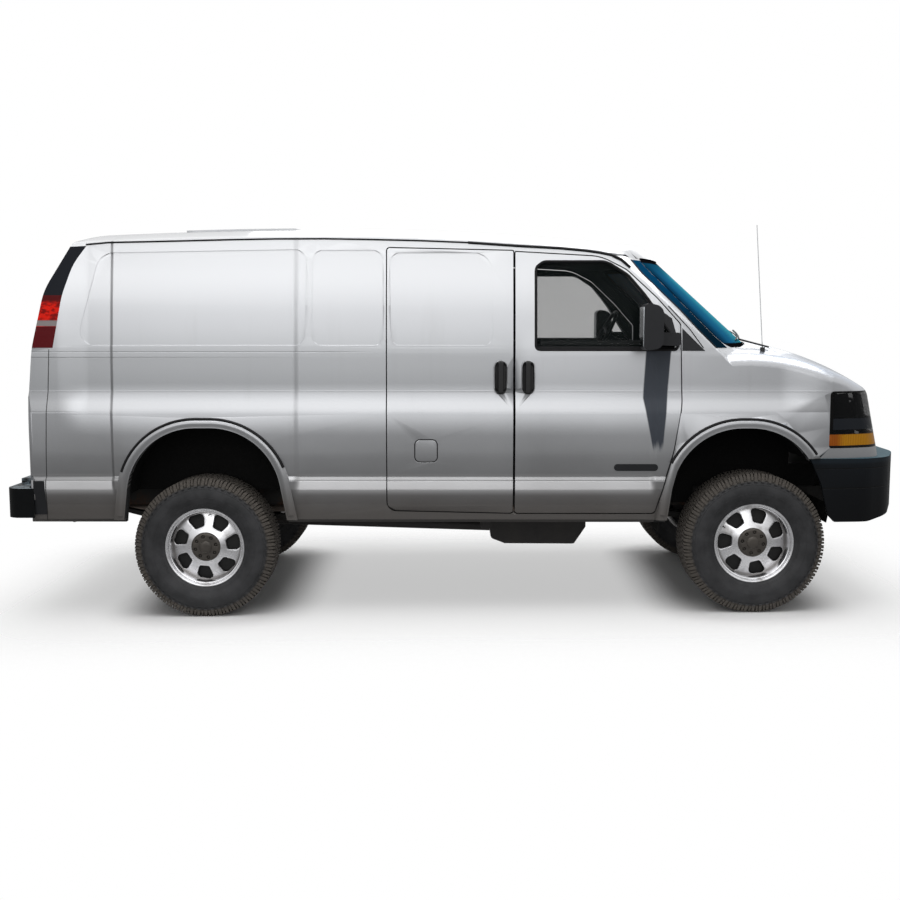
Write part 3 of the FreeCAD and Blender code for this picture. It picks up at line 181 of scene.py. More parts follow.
def mottled(name, scale, tones, rough, detail=3.0, grain=None, **fixed):
    """A plain material: two tones mixed by noise, a roughness (scale, depth, base) and a grain in relief."""

    def paint(place):
        look = {
            "Base Color": place.noise(scale, detail).mixed(*tones),
            "Roughness": place.noise(rough[0], detail) * rough[1] + rough[2],
        }
        if grain is not None:
            look["Relief"] = (place.noise(grain[0], grain[1]), grain[2])
        return look

    return finish(name, paint, **fixed)


def studio():
    """A pale floor that fades into a white surround, one wide lamp overhead and two soft fills."""
    world = bpy.data.worlds.new("surround")
    bpy.context.scene.world = world
    world.use_nodes = True
    tree = world.node_tree
    tree.nodes.clear()
    path = tree.nodes.new("ShaderNodeLightPath")
    seen = Signal(tree, path.outputs["Is Camera Ray"])
    seen = seen.most(Signal(tree, path.outputs["Is Transmission Ray"]))
    shine = Signal(tree, path.outputs["Is Glossy Ray"])
    up = Signal(tree, tree.nodes.new("ShaderNodeTexCoord").outputs["Generated"]).axis("Z")
    sky = up.ramp(-0.12, 0.42) * 0.72 + 0.28
    glow = seen + (1.0 - seen) * (shine * sky + (1.0 - shine) * 0.30)
    shade = glow.node("ShaderNodeBackground", None, {"Color": (1, 1, 1, 1), "Strength": glow})
    out = tree.nodes.new("ShaderNodeOutputWorld")
    tree.links.new(shade.output, out.inputs["Surface"])

    mesh = bpy.data.meshes.new("floor")
    span = 40.0
    mesh.from_pydata([(-span, -span, 0), (span, -span, 0), (span, span, 0), (-span, span, 0)], [], [(0, 1, 2, 3)])
    placed("floor_stage", mesh)

    def pale(place):
        ahead = (place.axis("X").size() - 2.3).most(0.0)
        aside = (place.axis("Y").size() - 0.9).most(0.0)
        reach = (ahead * ahead + aside * aside).root()
        near = None
        for axle in (-1.614, 1.815):
            dx = place.axis("X") - axle
            pool = (dx * dx + aside * aside * 2.2).root().ramp(0.75, 0.30)
            near = pool if near is None else near.most(pool)
        colour = place.noise(0.6).mixed((0.86, 0.86, 0.86), (0.88, 0.88, 0.88))
        return {"Base Color": colour, "Alpha": (near * 0.5 + 0.5) * (1.0 - reach.ramp(0.1, 1.3))}

    mesh.materials.append(finish("studio_floor", pale, Roughness=0.9, Specular_IOR_Level=0.1))
    for name, spot, aim, size, power in (
        ("overhead", (0.3, -1.2, 6.2), (0, 0, 1.0), (9.0, 6.0), 420.0),
        ("side_fill", (-1.0, -9.0, 3.4), (0, 0, 1.2), (9.0, 3.0), 90.0),
        ("far_fill", (1.0, 8.0, 4.0), (0, 0, 1.2), (8.0, 4.0), 90.0),
    ):
        light = bpy.data.lights.new(name, "AREA")
        light.shape = "RECTANGLE"
        light.size, light.size_y = size
        light.energy = power
        lamp = placed(name, light)
        lamp.location = spot
        lamp.rotation_euler = (Vector(aim) - Vector(spot)).to_track_quat("-Z", "Y").to_euler()


studio()

# Chassis, axles and running gear
# Black-painted pressed and cast steel, welded and bolted, dulled by road dirt and rusting in patches.
# Square U-bolts with nuts clamp each leaf pack round its axle tube.

VAN = "van_body"
SIDES = ((1, "left"), (-1, "right"))
HUB = 0.438
CORNERS = {
    "rear_left": (-1.614028, 1), "rear_right": (-1.614028, -1),
    "front_left": (1.81511, 1), "front_right": (1.81511, -1),
}


def dress(material, *nodes):
    """Gives a material to every face of some carried-over nodes."""
    for name in nodes:
        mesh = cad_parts[name].data
        mesh.materials.clear()
        mesh.materials.append(material)


def chassis(place):
    rust = place.noise(7.0, 6.0, 0.65).ramp(0.52, 0.7)
    dirt = place.noise(2.2, 4.0)
    colour = dirt.mixed((0.006, 0.006, 0.006), (0.022, 0.020, 0.018))
    return {
        "Base Color": rust.mixed(colour, (0.055, 0.027, 0.015)),
        "Roughness": 0.55 + rust * 0.3,
        "Relief": (place.noise(60.0, 3.0), 0.0008),
    }


chassis_paint = finish("chassis_paint", chassis, Specular_IOR_Level=0.3)
moulded_black = mottled(
    "moulded_black", 5.0, ((0.006, 0.0065, 0.008), (0.015, 0.016, 0.019)), (60.0, 0.25, 0.35),
    grain=(700.0, 1.0, 0.0002), Specular_IOR_Level=0.35,
)
engine_iron = mottled(
    "engine_iron", 5.0, ((0.02, 0.02, 0.022), (0.08, 0.075, 0.07)), (5.0, 0.25, 0.5), 5.0,
    grain=(90.0, 3.0, 0.001), Metallic=0.5,
)
exhaust_steel = mottled(
    "exhaust_steel", 4.0, ((0.12, 0.09, 0.07), (0.26, 0.22, 0.2)), (4.0, 0.25, 0.45), 5.0, Metallic=0.7,
)
dress(chassis_paint, "frame", "suspension", "axle_front", "axle_rear", "knuckle_left", "knuckle_right", "tie_rod")
dress(engine_iron, "powertrain")
dress(exhaust_steel, "exhaust")
dress(moulded_black, "fuel_tank")


def level(x, y, z):
    """A point given in millimetres with the sills level, set down where the leaned van has it."""
    return RAKE @ Vector((x / 1000.0, y / 1000.0, z / 1000.0))


def keep(name, mesh, material, body=VAN):
    """Puts a finished mesh, or several as one, into the scene, with its material, riding on its body."""
    if isinstance(mesh, list):
        mesh = together(name, mesh)
    made = placed(name, mesh)
    mesh.materials.clear()
    mesh.materials.append(material)
    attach(made, body)
    return made


def reworked(mesh, work):
    """A mesh with some work, a function of its bmesh, done to it."""
    form = bmesh.new()
    form.from_mesh(mesh)
    work(form)
    form.to_mesh(mesh)
    form.free()
    return mesh


def evaluated(carrier):
    """The plain mesh that an object's modifiers make."""
    graph = bpy.context.evaluated_depsgraph_get()
    return bpy.data.meshes.new_from_object(carrier.evaluated_get(graph))


SHARP = math.radians(38)


def drawn(name, points, faces, bands=None, smooth=True):
    """A mesh from points and faces, with the wheel map where the points have one."""
    mesh = bpy.data.meshes.new(name)
    mesh.from_pydata([tuple(p) for p in points], [], faces)
    if bands is not None:
        layer = mesh.uv_layers.new(name="band")
        for loop in mesh.loops:
            layer.data[loop.index].uv = bands[loop.vertex_index]

    def clean(form):
        bmesh.ops.remove_doubles(form, verts=form.verts, dist=0.00002)
        bmesh.ops.recalc_face_normals(form, faces=form.faces)

    reworked(mesh, clean)
    if smooth:
        mesh.shade_smooth()
        mesh.set_sharp_from_angle(angle=SHARP)
    return mesh


def together(name, meshes, place=Matrix()):
    """One mesh from several, set at a place."""
    form = bmesh.new()
    for mesh in meshes:
        form.from_mesh(mesh)
    whole = bpy.data.meshes.new(name)
    form.to_mesh(whole)
    form.free()
    whole.transform(place)
    whole.set_sharp_from_angle(angle=SHARP)
    return whole


def grow(name, base, recipe, **settings):
    """Runs a Geometry Nodes tree on a mesh and returns the plain mesh that comes out."""
    tree = bpy.data.node_groups.new(name, "GeometryNodeTree")
    tree.interface.new_socket("Geometry", in_out="INPUT", socket_type="NodeSocketGeometry")
    kinds = {int: "NodeSocketInt", float: "NodeSocketFloat"}
    keys = {}
    for label, value in settings.items():
        kind = kinds.get(type(value), "NodeSocketMaterial")
        keys[label] = tree.interface.new_socket(label, in_out="INPUT", socket_type=kind).identifier
    tree.interface.new_socket("Geometry", in_out="OUTPUT", socket_type="NodeSocketGeometry")
    start = tree.nodes.new("NodeGroupInput")
    ports = {socket.name: Signal(tree, socket) for socket in start.outputs if socket.name}
    shape = recipe(ports)
    shape = shape.node("GeometryNodeRealizeInstances", None, {"Geometry": shape})
    shape = shape.node("GeometryNodeSetMaterial", None, {"Geometry": shape, "Material": ports["Material"]})
    tree.links.new(shape.output, tree.nodes.new("NodeGroupOutput").inputs["Geometry"])
    carrier = placed(name, base)
    modifier = carrier.modifiers.new(name, "NODES")
    modifier.node_group = tree
    for label, value in settings.items():
        modifier[keys[label]] = value
    mesh = evaluated(carrier)
    bpy.data.objects.remove(carrier)
    return mesh


def bead(ports):
    """A bar of a given thickness and breadth along the base's edges."""
    along = ports["Geometry"].node("GeometryNodeMeshToCurve", None, {"Mesh": ports["Geometry"]})
    ring = along.node(
        "GeometryNodeCurvePrimitiveCircle", {"mode": "RADIUS"}, {"Resolution": 8, "Radius": ports["Thickness"]}
    )
    return along.node(
        "GeometryNodeCurveToMesh", None, {"Curve": along, "Profile Curve": ring, "Fill Caps": True}
    )


def bar(name, paths, thickness, material, closed=False):
    """Round bars along some paths, each a list of points, as one mesh."""
    base = bpy.data.meshes.new(name)
    points, edges = [], []
    for path in paths:
        first = len(points)
        points += [tuple(p) for p in path]
        edges += [(first + i, first + i + 1) for i in range(len(path) - 1)]
        if closed:
            edges.append((len(points) - 1, first))
    base.from_pydata(points, edges, [])
    mesh = grow(name, base, bead, Thickness=thickness, Material=material)
    mesh.shade_smooth()
    return mesh


def lathe(profile, count):
    """Points, faces and the wheel map of a closed profile (out, radius) turned about the Y axis."""
    points, faces, bands = [], [], []
    rows = len(profile)
    for i in range(count):
        turn = 2 * math.pi * i / count
        for out, radius in profile:
            points.append((radius * math.sin(turn), out, radius * math.cos(turn)))
            bands.append((out, radius))
    for i in range(count):
        for j in range(rows):
            a, b = i * rows + j, i * rows + (j + 1) % rows
            c, d = (i + 1) % count * rows + (j + 1) % rows, (i + 1) % count * rows + j
            faces.append((a, b, c, d))
    return points, faces, bands


def nut(ports):
    """A nut on every point of the base, its axis upright, and the end of the bolt through it."""
    both = ports["Geometry"].node("GeometryNodeJoinGeometry")
    for sides, radius, depth in ((6, "Size", "Height"), (12, "Stud", "Reach")):
        part = both.node(
            "GeometryNodeMeshCylinder", {"fill_type": "NGON"},
            {"Vertices": sides, "Radius": ports[radius], "Depth": ports[depth]},
        )
        both.tree.links.new(part.output, both.output.node.inputs["Geometry"])
    return both.node("GeometryNodeInstanceOnPoints", None, {"Points": ports["Geometry"], "Instance": both})


bolt_paths, nut_spots = [], []
for axle_x, side in CORNERS.values():
    for along in (-0.0505, 0.0505):
        y = 0.430 * side
        hook = ((-0.041, 0.125), (-0.041, -0.03), (-0.036, -0.052), (0.036, -0.052), (0.041, -0.03), (0.041, 0.125))
        bolt_paths.append([(axle_x + along, y + dy, HUB + dz) for dy, dz in hook])
        nut_spots += [(axle_x + along, y + dy, HUB + 0.112) for dy in (-0.041, 0.041)]
nut_base = bpy.data.meshes.new("nut_base")
nut_base.from_pydata(nut_spots, [], [])
nuts = grow("axle_nuts", nut_base, nut, Size=0.013, Height=0.014, Stud=0.006, Reach=0.03, Material=chassis_paint)
keep("axle_u_bolts", [bar("u_bolts", bolt_paths, 0.006, chassis_paint), nuts], chassis_paint)

# Floor and wheel housings
# Pressed steel panels under a ribbed black rubber mat, undersealed below and inside the wheel openings.
# Rubber aprons hang beside and behind the front wheels and under the nose; a dark core fills the radiator's place.


def underseal(place):
    up = place.facing().axis("Z")
    ribs = (place.axis("Y") * 140.0).wave() * up.ramp(0.8, 0.95)
    dust = place.noise(3.0, 5.0) * up.ramp(-0.2, 0.6)
    return {
        "Base Color": dust.mixed((0.003, 0.003, 0.003), (0.018, 0.017, 0.015)),
        "Roughness": place.noise(40.0) * 0.2 + 0.75,
        "Relief": (ribs * 0.7 + place.noise(80.0, 3.0) * 0.5, 0.002),
    }


underseal_paint = finish("underseal", underseal, Specular_IOR_Level=0.2)
dress(underseal_paint, "floor")


def boxed(name, spots, bevel=0.0, segments=2):
    """A block from its eight corners, four round its foot and four round its top, its edges rounded by a bevel."""
    faces = [(3, 2, 1, 0), (4, 5, 6, 7), (0, 1, 5, 4), (1, 2, 6, 5), (2, 3, 7, 6), (3, 0, 4, 7)]
    block = drawn(name, spots, faces, smooth=False)
    if bevel:
        reworked(block, lambda form: bmesh.ops.bevel(
            form, geom=form.edges, offset=bevel, segments=segments, affect="EDGES"
        ))
    return block


def slab(name, corners, thick):
    """A flat sheet of rubber or steel: four corners with the sills level, given a thickness."""
    a, b, c, d = [level(*p) for p in corners]
    out = (b - a).cross(d - a).normalized() * thick
    return boxed(name, [a, b, c, d, a + out, b + out, c + out, d + out])


aprons = [slab("air_dam", ((2290, 900, 572), (2290, -900, 572), (2310, -900, 690), (2310, 900, 690)), 0.004)]
for side, _ in SIDES:
    y = side * 489
    near, far = side * 700, side * 955
    aprons.append(slab("apron", ((1262, y, 750), (2340, y, 750), (2340, y, 896), (1262, y, 896)), 0.003))
    aprons.append(slab("flap", ((1226, near, 520), (1226, far, 520), (1238, far, 640), (1238, near, 640)), 0.004))
aprons.append(slab("core", ((2505, 540, 1045), (2505, -540, 1045), (2470, -540, 1345), (2470, 540, 1345)), 0.004))
keep("splash_aprons", aprons, underseal_paint)

# Body shell
# Pressed steel panels welded up and sprayed silver, with clear lacquer over the metal flake.
# The sills and lower sides are painted darker and browner as painted shade from the ground below, and their gloss is
# dulled. Inside, the steel is covered in dark lining, painted near black as the shade inside.


def levelled(place):
    """How far along and how high a spot is when the sills are level."""
    shift, slope = 0.0069, 0.009
    ahead = place.axis("X") + shift
    return ahead - place.axis("Z") * slope, place.axis("Z") + ahead * slope


def silver(place):
    """The shell's paint: streaks and cloudy tones in its colour, painted shade darkening the lower sides, painted sky
    reflections on the upper sides and the hood, and painted highlights along the shoulder and under the lower crease;
    the pressings, seams and fuel flap in its relief.

    Two black handles on each side, a painted dark reflection below the right mirror, a dark line of painted shade along
    the lower crease and a dark trim inside, painted near black as shade, are painted over it.
    """
    along, height = levelled(place)
    across = place.axis("Y")
    outer = across.size()
    normal = place.facing()
    flake = place.noise(900.0, 1.0)
    cloud = place.noise(1.7, 4.0)
    # Painted shade: below about 1.5 m the paint is darkened and browned towards the bottom, standing for the dark
    # ground's reflection; the gloss is dulled there too.
    low = (height + cloud * 0.12).ramp(0.98, 0.70)
    painted_lower_shade = (height + cloud * 0.22).ramp(1.50, 0.84) * 0.74
    colour = (cloud * 0.3 + flake * 0.25).mixed((0.47, 0.48, 0.50), (0.58, 0.59, 0.61))
    colour = painted_lower_shade.mixed(colour, (0.17, 0.168, 0.168))
    colour = (low * 0.85).mixed(colour, (0.088, 0.078, 0.07))
    streaks = place.stretched(9.0, 9.0, 0.6).noise(1.0, 4.0).ramp(0.55, 0.8) * height.ramp(2.3, 1.5)
    colour = (streaks * 0.12).mixed(colour, (0.2, 0.19, 0.18))
    # Painted sky reflection: faces turned up on the hood and nose are tinted pale blue.
    sky = normal.axis("Z").ramp(0.3, 0.9) * along.ramp(1.5, 2.0)
    colour = (sky * 0.5).mixed(colour, (0.47, 0.55, 0.68))
    # Painted sky reflection: the sides are lightened towards white from about 1.8 m up.
    side = outer.ramp(0.80, 0.86)
    colour = (side * height.ramp(1.80, 2.15) * 0.8).mixed(colour, (0.76, 0.77, 0.79))
    # Painted shade: the sides between the shoulder and the beltline, behind the front doors, are darkened.
    quarter = side * height.ramp(1.36, 1.43) * height.ramp(1.85, 1.62) * along.ramp(0.42, 0.30)
    colour = (quarter * 0.45).mixed(colour, (0.29, 0.30, 0.31))
    # Painted highlight: a light band along the shoulder at 1.32 m on the sides.
    colour = (height.line(1.318, 0.055, 0.01) * side * 0.5).mixed(colour, (0.70, 0.71, 0.73))

    rise = height.past(1.13, 0.144)
    fall = (1.45 - height).most(0.0).least(0.048)
    dip = height.past(1.34, 0.062)
    flat = height.past(1.274, 0.128)
    ends = along.ramp(-2.30, -2.50).most(along.ramp(1.95, 2.25))
    swell = (fall * fall * 0.6 + dip * dip * 1.3 - rise * rise * 0.52) * (1.0 - ends) + ends * flat * 0.21
    lift, hold, ledge = height.past(0.730, 0.080), height.past(0.810, 0.040), height.past(0.852, 0.024)
    press = (along.ramp(-1.05, -1.0) * along.ramp(1.20, 1.15)).most(along.ramp(-2.15, -2.17))
    swell = swell + press * (ledge * 0.55 - lift * lift * 2.0 - hold * 0.32)
    # Painted highlight: a light band just below the lower crease on the pressed panels.
    colour = (height.line(0.828, 0.075, 0.02) * press * 0.6).mixed(colour, (0.60, 0.60, 0.61))
    # Painted shade: a dark line along the top of the lower crease on the pressed panels.
    crease = height.line(0.877, 0.005, 0.001) * press
    seam = (along + 2.546 + (1.643 - height) * 0.0396).size().ramp(0.0035, 0.0015) * height.ramp(1.66, 1.655)
    belt = height.line(1.643, 0.004, 0.001) * along.ramp(-0.5, -0.9) * 0.6
    over = ((along + 0.225).size() - 0.037).most(0.0)
    up = ((height - 1.036).size() - 0.037).most(0.0)
    flap = (over * over + up * up).root().line(0.033, 0.004, 0.0015) * across.ramp(-0.9, -0.95)
    groove = seam.most(flap)

    handles = None
    for centre in (0.402, 0.234):
        dx = (along - centre).size() / 0.036
        dz = ((height - 1.488).size() - 0.066).most(0.0) / 0.036
        oval = (dx * dx + dz * dz).root().ramp(1.04, 1.0)
        handles = oval if handles is None else handles.most(oval)
    handles = handles * outer.ramp(0.955, 0.96)
    # Painted reflection: a dark streak with a ragged top below the right mirror, between two slanted edges.
    left = (height - 1.362).most(0.0) * 0.06 + (1.362 - height).most(0.0) * 0.2 + 1.108
    right = (height - 1.011) * 0.076 + 1.232
    ragged = place.stretched(60.0, 60.0, 4.0).noise(1.0, 3.0) * 0.16
    painted_mirror_reflection = (along - left).ramp(-0.003, 0.006) * (right - along).ramp(-0.003, 0.006)
    painted_mirror_reflection = painted_mirror_reflection * (height + ragged).ramp(1.10, 1.18) * across.ramp(-0.9, -0.95) * height.ramp(1.655, 1.65)

    # A dark lining inside, painted near black so that it also stands for the shade inside the van.
    inward = (normal.axis("Y") * across).ramp(-0.02, -0.12)
    ceiling = normal.axis("Z").ramp(-0.5, -0.8)
    lining_and_shade = inward.most(ceiling) * (1.0 - handles)
    # The painted dark reflection below the right mirror.
    colour = (painted_mirror_reflection * 0.94).mixed(colour, (0.014, 0.022, 0.037))
    # The seams and the fuel flap get dark joint lines; the lower crease's dark line is painted shade.
    colour = (groove * 0.85).most(crease * 0.45).mixed(colour, (0.012, 0.012, 0.013))
    colour = handles.mixed(colour, (0.006, 0.006, 0.007))
    colour = lining_and_shade.mixed(colour, (0.006, 0.0065, 0.007))
    bare = (1.0 - handles) * (1.0 - lining_and_shade)
    return {
        "Base Color": colour,
        "Metallic": bare * (0.72 - low * 0.5) * (1.0 - painted_mirror_reflection),
        "Roughness": low * 0.25 + flake * 0.05 + lining_and_shade * 0.45 + painted_mirror_reflection * 0.4 + 0.3,
        "Coat Weight": bare * (1.0 - low) * (1.0 - painted_mirror_reflection) * 0.6,
        "Relief": (swell * bare - groove * 0.0025 - belt * 0.0012, 1.0),
    }


def faired(node, material, body=VAN):
    """A carried-over piece with its triangles joined and its curves shaded smooth."""
    mesh = reworked(
        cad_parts[node].data.copy(), lambda form: bmesh.ops.remove_doubles(form, verts=form.verts, dist=0.00001)
    )
    mesh.shade_smooth()
    mesh.set_sharp_from_angle(angle=math.radians(33))
    carrier = placed(node, mesh)
    weighted = carrier.modifiers.new("fair", "WEIGHTED_NORMAL")
    weighted.keep_sharp = True
    weighted.weight = 100
    even = evaluated(carrier)
    bpy.data.objects.remove(carrier)
    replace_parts(keep(node + "_skin", even, material, body), node)


silver_paint = finish("silver_paint", silver, Coat_Roughness=0.08)
SHELL = {
    "roof": VAN, "body_side_left": VAN, "body_side_right": VAN, "cowl": VAN, "fender_left": VAN, "fender_right": VAN,
    "hood": "hood", "door_side": "side_door", "door_front_left": "front_door_left",
    "door_front_right": "front_door_right", "door_rear_left": "rear_door_left", "door_rear_right": "rear_door_right",
}
for node, body in SHELL.items():
    faired(node, silver_paint, body)
vent_paint = mottled("vent_paint", 6.0, ((0.5, 0.51, 0.52), (0.62, 0.63, 0.64)), (40.0, 0.2, 0.35))
dress(vent_paint, "roof_vent")

# Gutters and windscreen edges
# A black rubber strip lies in the roof's gutter and runs down each windscreen pillar.
# A dark blue band lies between the pillar's rubber and the pane, in place of the pane's own outer edge.

seal_rubber = mottled(
    "seal_rubber", 20.0, ((0.003, 0.003, 0.0035), (0.010, 0.010, 0.011)), (60.0, 0.2, 0.45), Specular_IOR_Level=0.2
)


def skin_of(*nodes):
    """The outer surface of some carried-over nodes, to set things down on."""
    form = bmesh.new()
    for node in nodes:
        form.from_mesh(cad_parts[node].data)
    tree = BVHTree.FromBMesh(form)
    form.free()
    return tree


def touch(skin, start, way, lift=0.0):
    """Where a ray from a spot, in mm with the sills level, meets a skin, lifted off it. None where it misses."""
    way = Vector(way)
    hit, normal, _, _ = skin.ray_cast(level(*start), way)
    if hit is None:
        return None
    return hit + (-normal if normal.dot(way) > 0 else normal) * lift


def on_side(skin, x, z, side, lift=0.0):
    return touch(skin, (x, side * 1300.0, z), (0, -side, 0), lift)


def found(spots):
    return [spot for spot in spots if spot is not None]


def rounded(corners, steps=6):
    """Points along a closed outline of corners (a, b, radius), each corner turned by an arc."""
    points = []
    count = len(corners)
    for i in range(count):
        here = Vector(corners[i][:2])
        back = (Vector(corners[i - 1][:2]) - here).normalized()
        ahead = (Vector(corners[(i + 1) % count][:2]) - here).normalized()
        radius = corners[i][2]
        half = back.angle(ahead) / 2
        reach = radius / math.tan(half)
        centre = here + (back + ahead).normalized() * (radius / math.sin(half))
        first = here + back * reach - centre
        sweep = first.angle_signed(here + ahead * reach - centre)
        for k in range(steps + 1):
            turn = -sweep * k / steps
            cos, sin = math.cos(turn), math.sin(turn)
            points.append((centre.x + first.x * cos - first.y * sin, centre.y + first.x * sin + first.y * cos))
    return points


def spread(path, gap):
    """The points of an open path, with more between them so that none are further apart than the gap."""
    points = [path[0]]
    for first, last in zip(path, path[1:]):
        count = max(1, math.ceil((Vector(last) - Vector(first)).length / gap))
        points += [tuple(Vector(first).lerp(Vector(last), (k + 1) / count)) for k in range(count)]
    return points


skins = {
    1: skin_of("body_side_left", "door_front_left", "roof", "fender_left", "hood", "cowl"),
    -1: skin_of("body_side_right", "door_front_right", "door_side", "roof", "fender_right", "hood", "cowl"),
}

RAIL = (
    (-2320, 2300), (-2182, 2313), (-1886, 2319), (-1443, 2330), (-1147, 2335), (-852, 2336), (-557, 2331),
    (-262, 2324), (33, 2312), (328, 2292), (599, 2277), (760, 2262), (845, 2250), (920, 2234), (975, 2208),
    (1030, 2160),
)
PILLAR = ((1262, 1925), (1330, 1852), (1398, 1777), (1478, 1668))
SCREEN_EDGE = ((1040, 2209), (1101, 2129), (1224, 2012), (1334, 1907), (1445, 1783), (1560, 1668))


def traced(skin, path, side, lift):
    """A line (x, z) set down on the body's side: the longest run of it that the side carries."""
    runs = [[]]
    for x, z in spread(path, 60.0):
        hit = on_side(skin, x, z, side, lift)
        if hit is None:
            runs.append([])
        else:
            runs[-1].append(hit)
    return max(runs, key=len)


def sheet_on(name, rows, out):
    """A thin sheet over rows of points, its outer face a step further out."""
    across, count = len(rows[0]), len(rows) * len(rows[0])
    points = [p + out for row in rows for p in row] + [p for row in rows for p in row]
    faces = []
    for i in range(len(rows) - 1):
        for j in range(across - 1):
            a, b = i * across + j, (i + 1) * across + j
            faces += [(a, a + 1, b + 1, b), (a + count, b + count, b + count + 1, a + count + 1)]
    rim = list(range(across)) + [i * across + across - 1 for i in range(1, len(rows))]
    rim += [count - across + j for j in reversed(range(across - 1))]
    rim += [i * across for i in reversed(range(1, len(rows) - 1))]
    faces += [(a, b, b + count, a + count) for a, b in zip(rim, rim[1:] + rim[:1])]
    return drawn(name, points, faces)


def laid(name, outline, skin, side, thick):
    """A thin plate on the body's side within an outline (x, z)."""
    loop = found(on_side(skin, x, z, side) for x, z in outline)
    middle = sum(loop, Vector()) / len(loop)
    out = Vector((0, side * thick, 0))
    n = len(loop)
    points = [middle + out] + [p + out for p in loop] + [middle - out] + [p - out for p in loop]
    faces = [(0, 1 + i, 1 + (i + 1) % n) for i in range(n)]
    faces += [(n + 1, n + 2 + (i + 1) % n, n + 2 + i) for i in range(n)]
    faces += [(1 + i, n + 2 + i, n + 2 + (i + 1) % n, 1 + (i + 1) % n) for i in range(n)]
    return drawn(name, points, faces, smooth=False)


def fired_band(place):
    height = place.axis("Z")
    return {
        "Base Color": height.ramp(1.72, 2.10).mixed((0.002, 0.012, 0.024), (0.002, 0.045, 0.11)),
        "Roughness": place.noise(4.0) * 0.1 + 0.4,
    }


screen_bands, rail_meshes = [], []
for side, name in SIDES:
    skin = skins[side]
    thin = [p for p in RAIL if p[0] < 400]
    for path, lift, thick in ((thin, 0.001, 0.0055), (RAIL[8:], 0.0015, 0.0085), (PILLAR, 0.0, 0.003)):
        rail_meshes.append(bar("rail", [traced(skin, path, side, lift)], thick, seal_rubber))
    rows = []
    for x, z in spread(SCREEN_EDGE, 50.0):
        inner = on_side(skin, x, z, side)
        reach = found(on_side(skin, x + d, z, side) for d in range(3, 150, 3))
        reach = [p for p in reach if abs(p.y - inner.y) < 0.10]
        if len(reach) > 2:
            rows.append([inner, reach[len(reach) // 2], reach[-1]])
    screen_bands.append(sheet_on("screen_band", rows, Vector((0, side * 0.003, 0))))
    rail_meshes.append(bar("screen_rubber", [[row[0] for row in rows]], 0.005, seal_rubber))
keep("gutter_rubber", rail_meshes, seal_rubber)
band_paint = finish("screen_band", fired_band, Specular_IOR_Level=0.0)
keep("screen_bands", screen_bands, band_paint)

# Arch lips and side plates
# Each wheel opening has a rolled steel lip, painted with the body, and a dark line along the top of its outer edge as a
# painted shadow.
# A black plastic plate fills the corner ahead of each door window, and a bare black plate stands for the door's badge.
# A black plastic cap covers each rear corner beside the bumper.

ARCHES = {
    "body_side_": [(-2115, 460, 1), (-1060, 460, 1), (-1196, 1178, 432), (-2030, 1178, 432)],
    "fender_": [(1245, 460, 1), (2205, 460, 1), (2205, 1178, 432), (1346, 1178, 432)],
}


def grown(loop, gap):
    """The points of a closed outline moved out by a gap."""
    count = len(loop)
    moved = []
    for i in range(count):
        ahead = Vector(loop[(i + 1) % count]) - Vector(loop[i - 1])
        ahead.normalize()
        moved.append((loop[i][0] + ahead.y * gap, loop[i][1] - ahead.x * gap))
    return moved


def lip_rows(skin, corners, side):
    """A rolled lip: lines set down round the opening, each a little further out, standing off in an arc."""
    shares = (0.0, 0.12, 0.3, 0.5, 0.7, 0.88, 1.0)
    sill_foot = 612.0
    loop = rounded(corners, 20)
    loop = spread(loop + loop[:1], 30.0)
    rows = []
    for spots in zip(*(grown(loop, 6.0 + share * 48.0) for share in shares)):
        row = []
        for share, (x, z) in zip(shares, spots):
            hit = on_side(skin, x, z, side)
            if z > sill_foot and hit is not None:
                row.append(hit + Vector((0, side * (0.010 * math.sin(math.pi * share) - 0.001), 0)))
        if len(row) == len(shares):
            rows.append(row)
    cut = max(range(len(rows)), key=lambda i: (rows[i][0] - rows[i - 1][0]).length)
    return rows[cut:] + rows[:cut]


for side, name in SIDES:
    lips, lip_shadow = [], []
    for node, corners in ARCHES.items():
        rows = lip_rows(skin_of(node + name), corners, side)
        lips.append(sheet_on("lip", rows, Vector((0, side * 0.001, 0))))
        crest = max(row[0].z for row in rows)
        # Painted shadow: a dark bar along the top of each lip's outer edge.
        top = [row[-1] for row in rows if row[0].z > crest - 0.30]
        lip_shadow.append(bar("line", [top], 0.0095, seal_rubber))
    keep("arch_lips_" + name, lips, silver_paint)
    keep("arch_sealer_" + name, lip_shadow, seal_rubber)

    sail = [(1337, 1660), (1337, 1796), (1284, 1848), (1200, 1910), (1148, 1958), (1240, 1822), (1325, 1686)]
    badge = rounded([(935, 912, 20), (1206, 912, 20), (1206, 955, 20), (935, 955, 20)], 4)
    door = skin_of("door_front_" + name)
    plates = [laid("plate", outline, door, side, 0.003) for outline in (sail, badge)]
    keep("door_plates_" + name, plates, moulded_black, "front_door_" + name)
    plates = [laid("fixed_sail", [(1348, 1650), (1488, 1650), (1348, 1788)], skins[side], side, 0.003)]
    back = (-2586, -2606, -2626, -2644, -2660)
    cap = [[on_side(skins[side], x, z, side) for x in back] for z in (636, 700, 780, 850)]
    plates.append(sheet_on("corner_cap", cap, Vector((0, side * 0.004, 0))))
    keep("side_plates_" + name, plates, moulded_black)

# Rear header
# A pressed steel panel, painted with the body and welded between the two sides and the roof over the rear doors.
# Its section is the right side's own, taken where the opening ends, 303 mm from the middle.

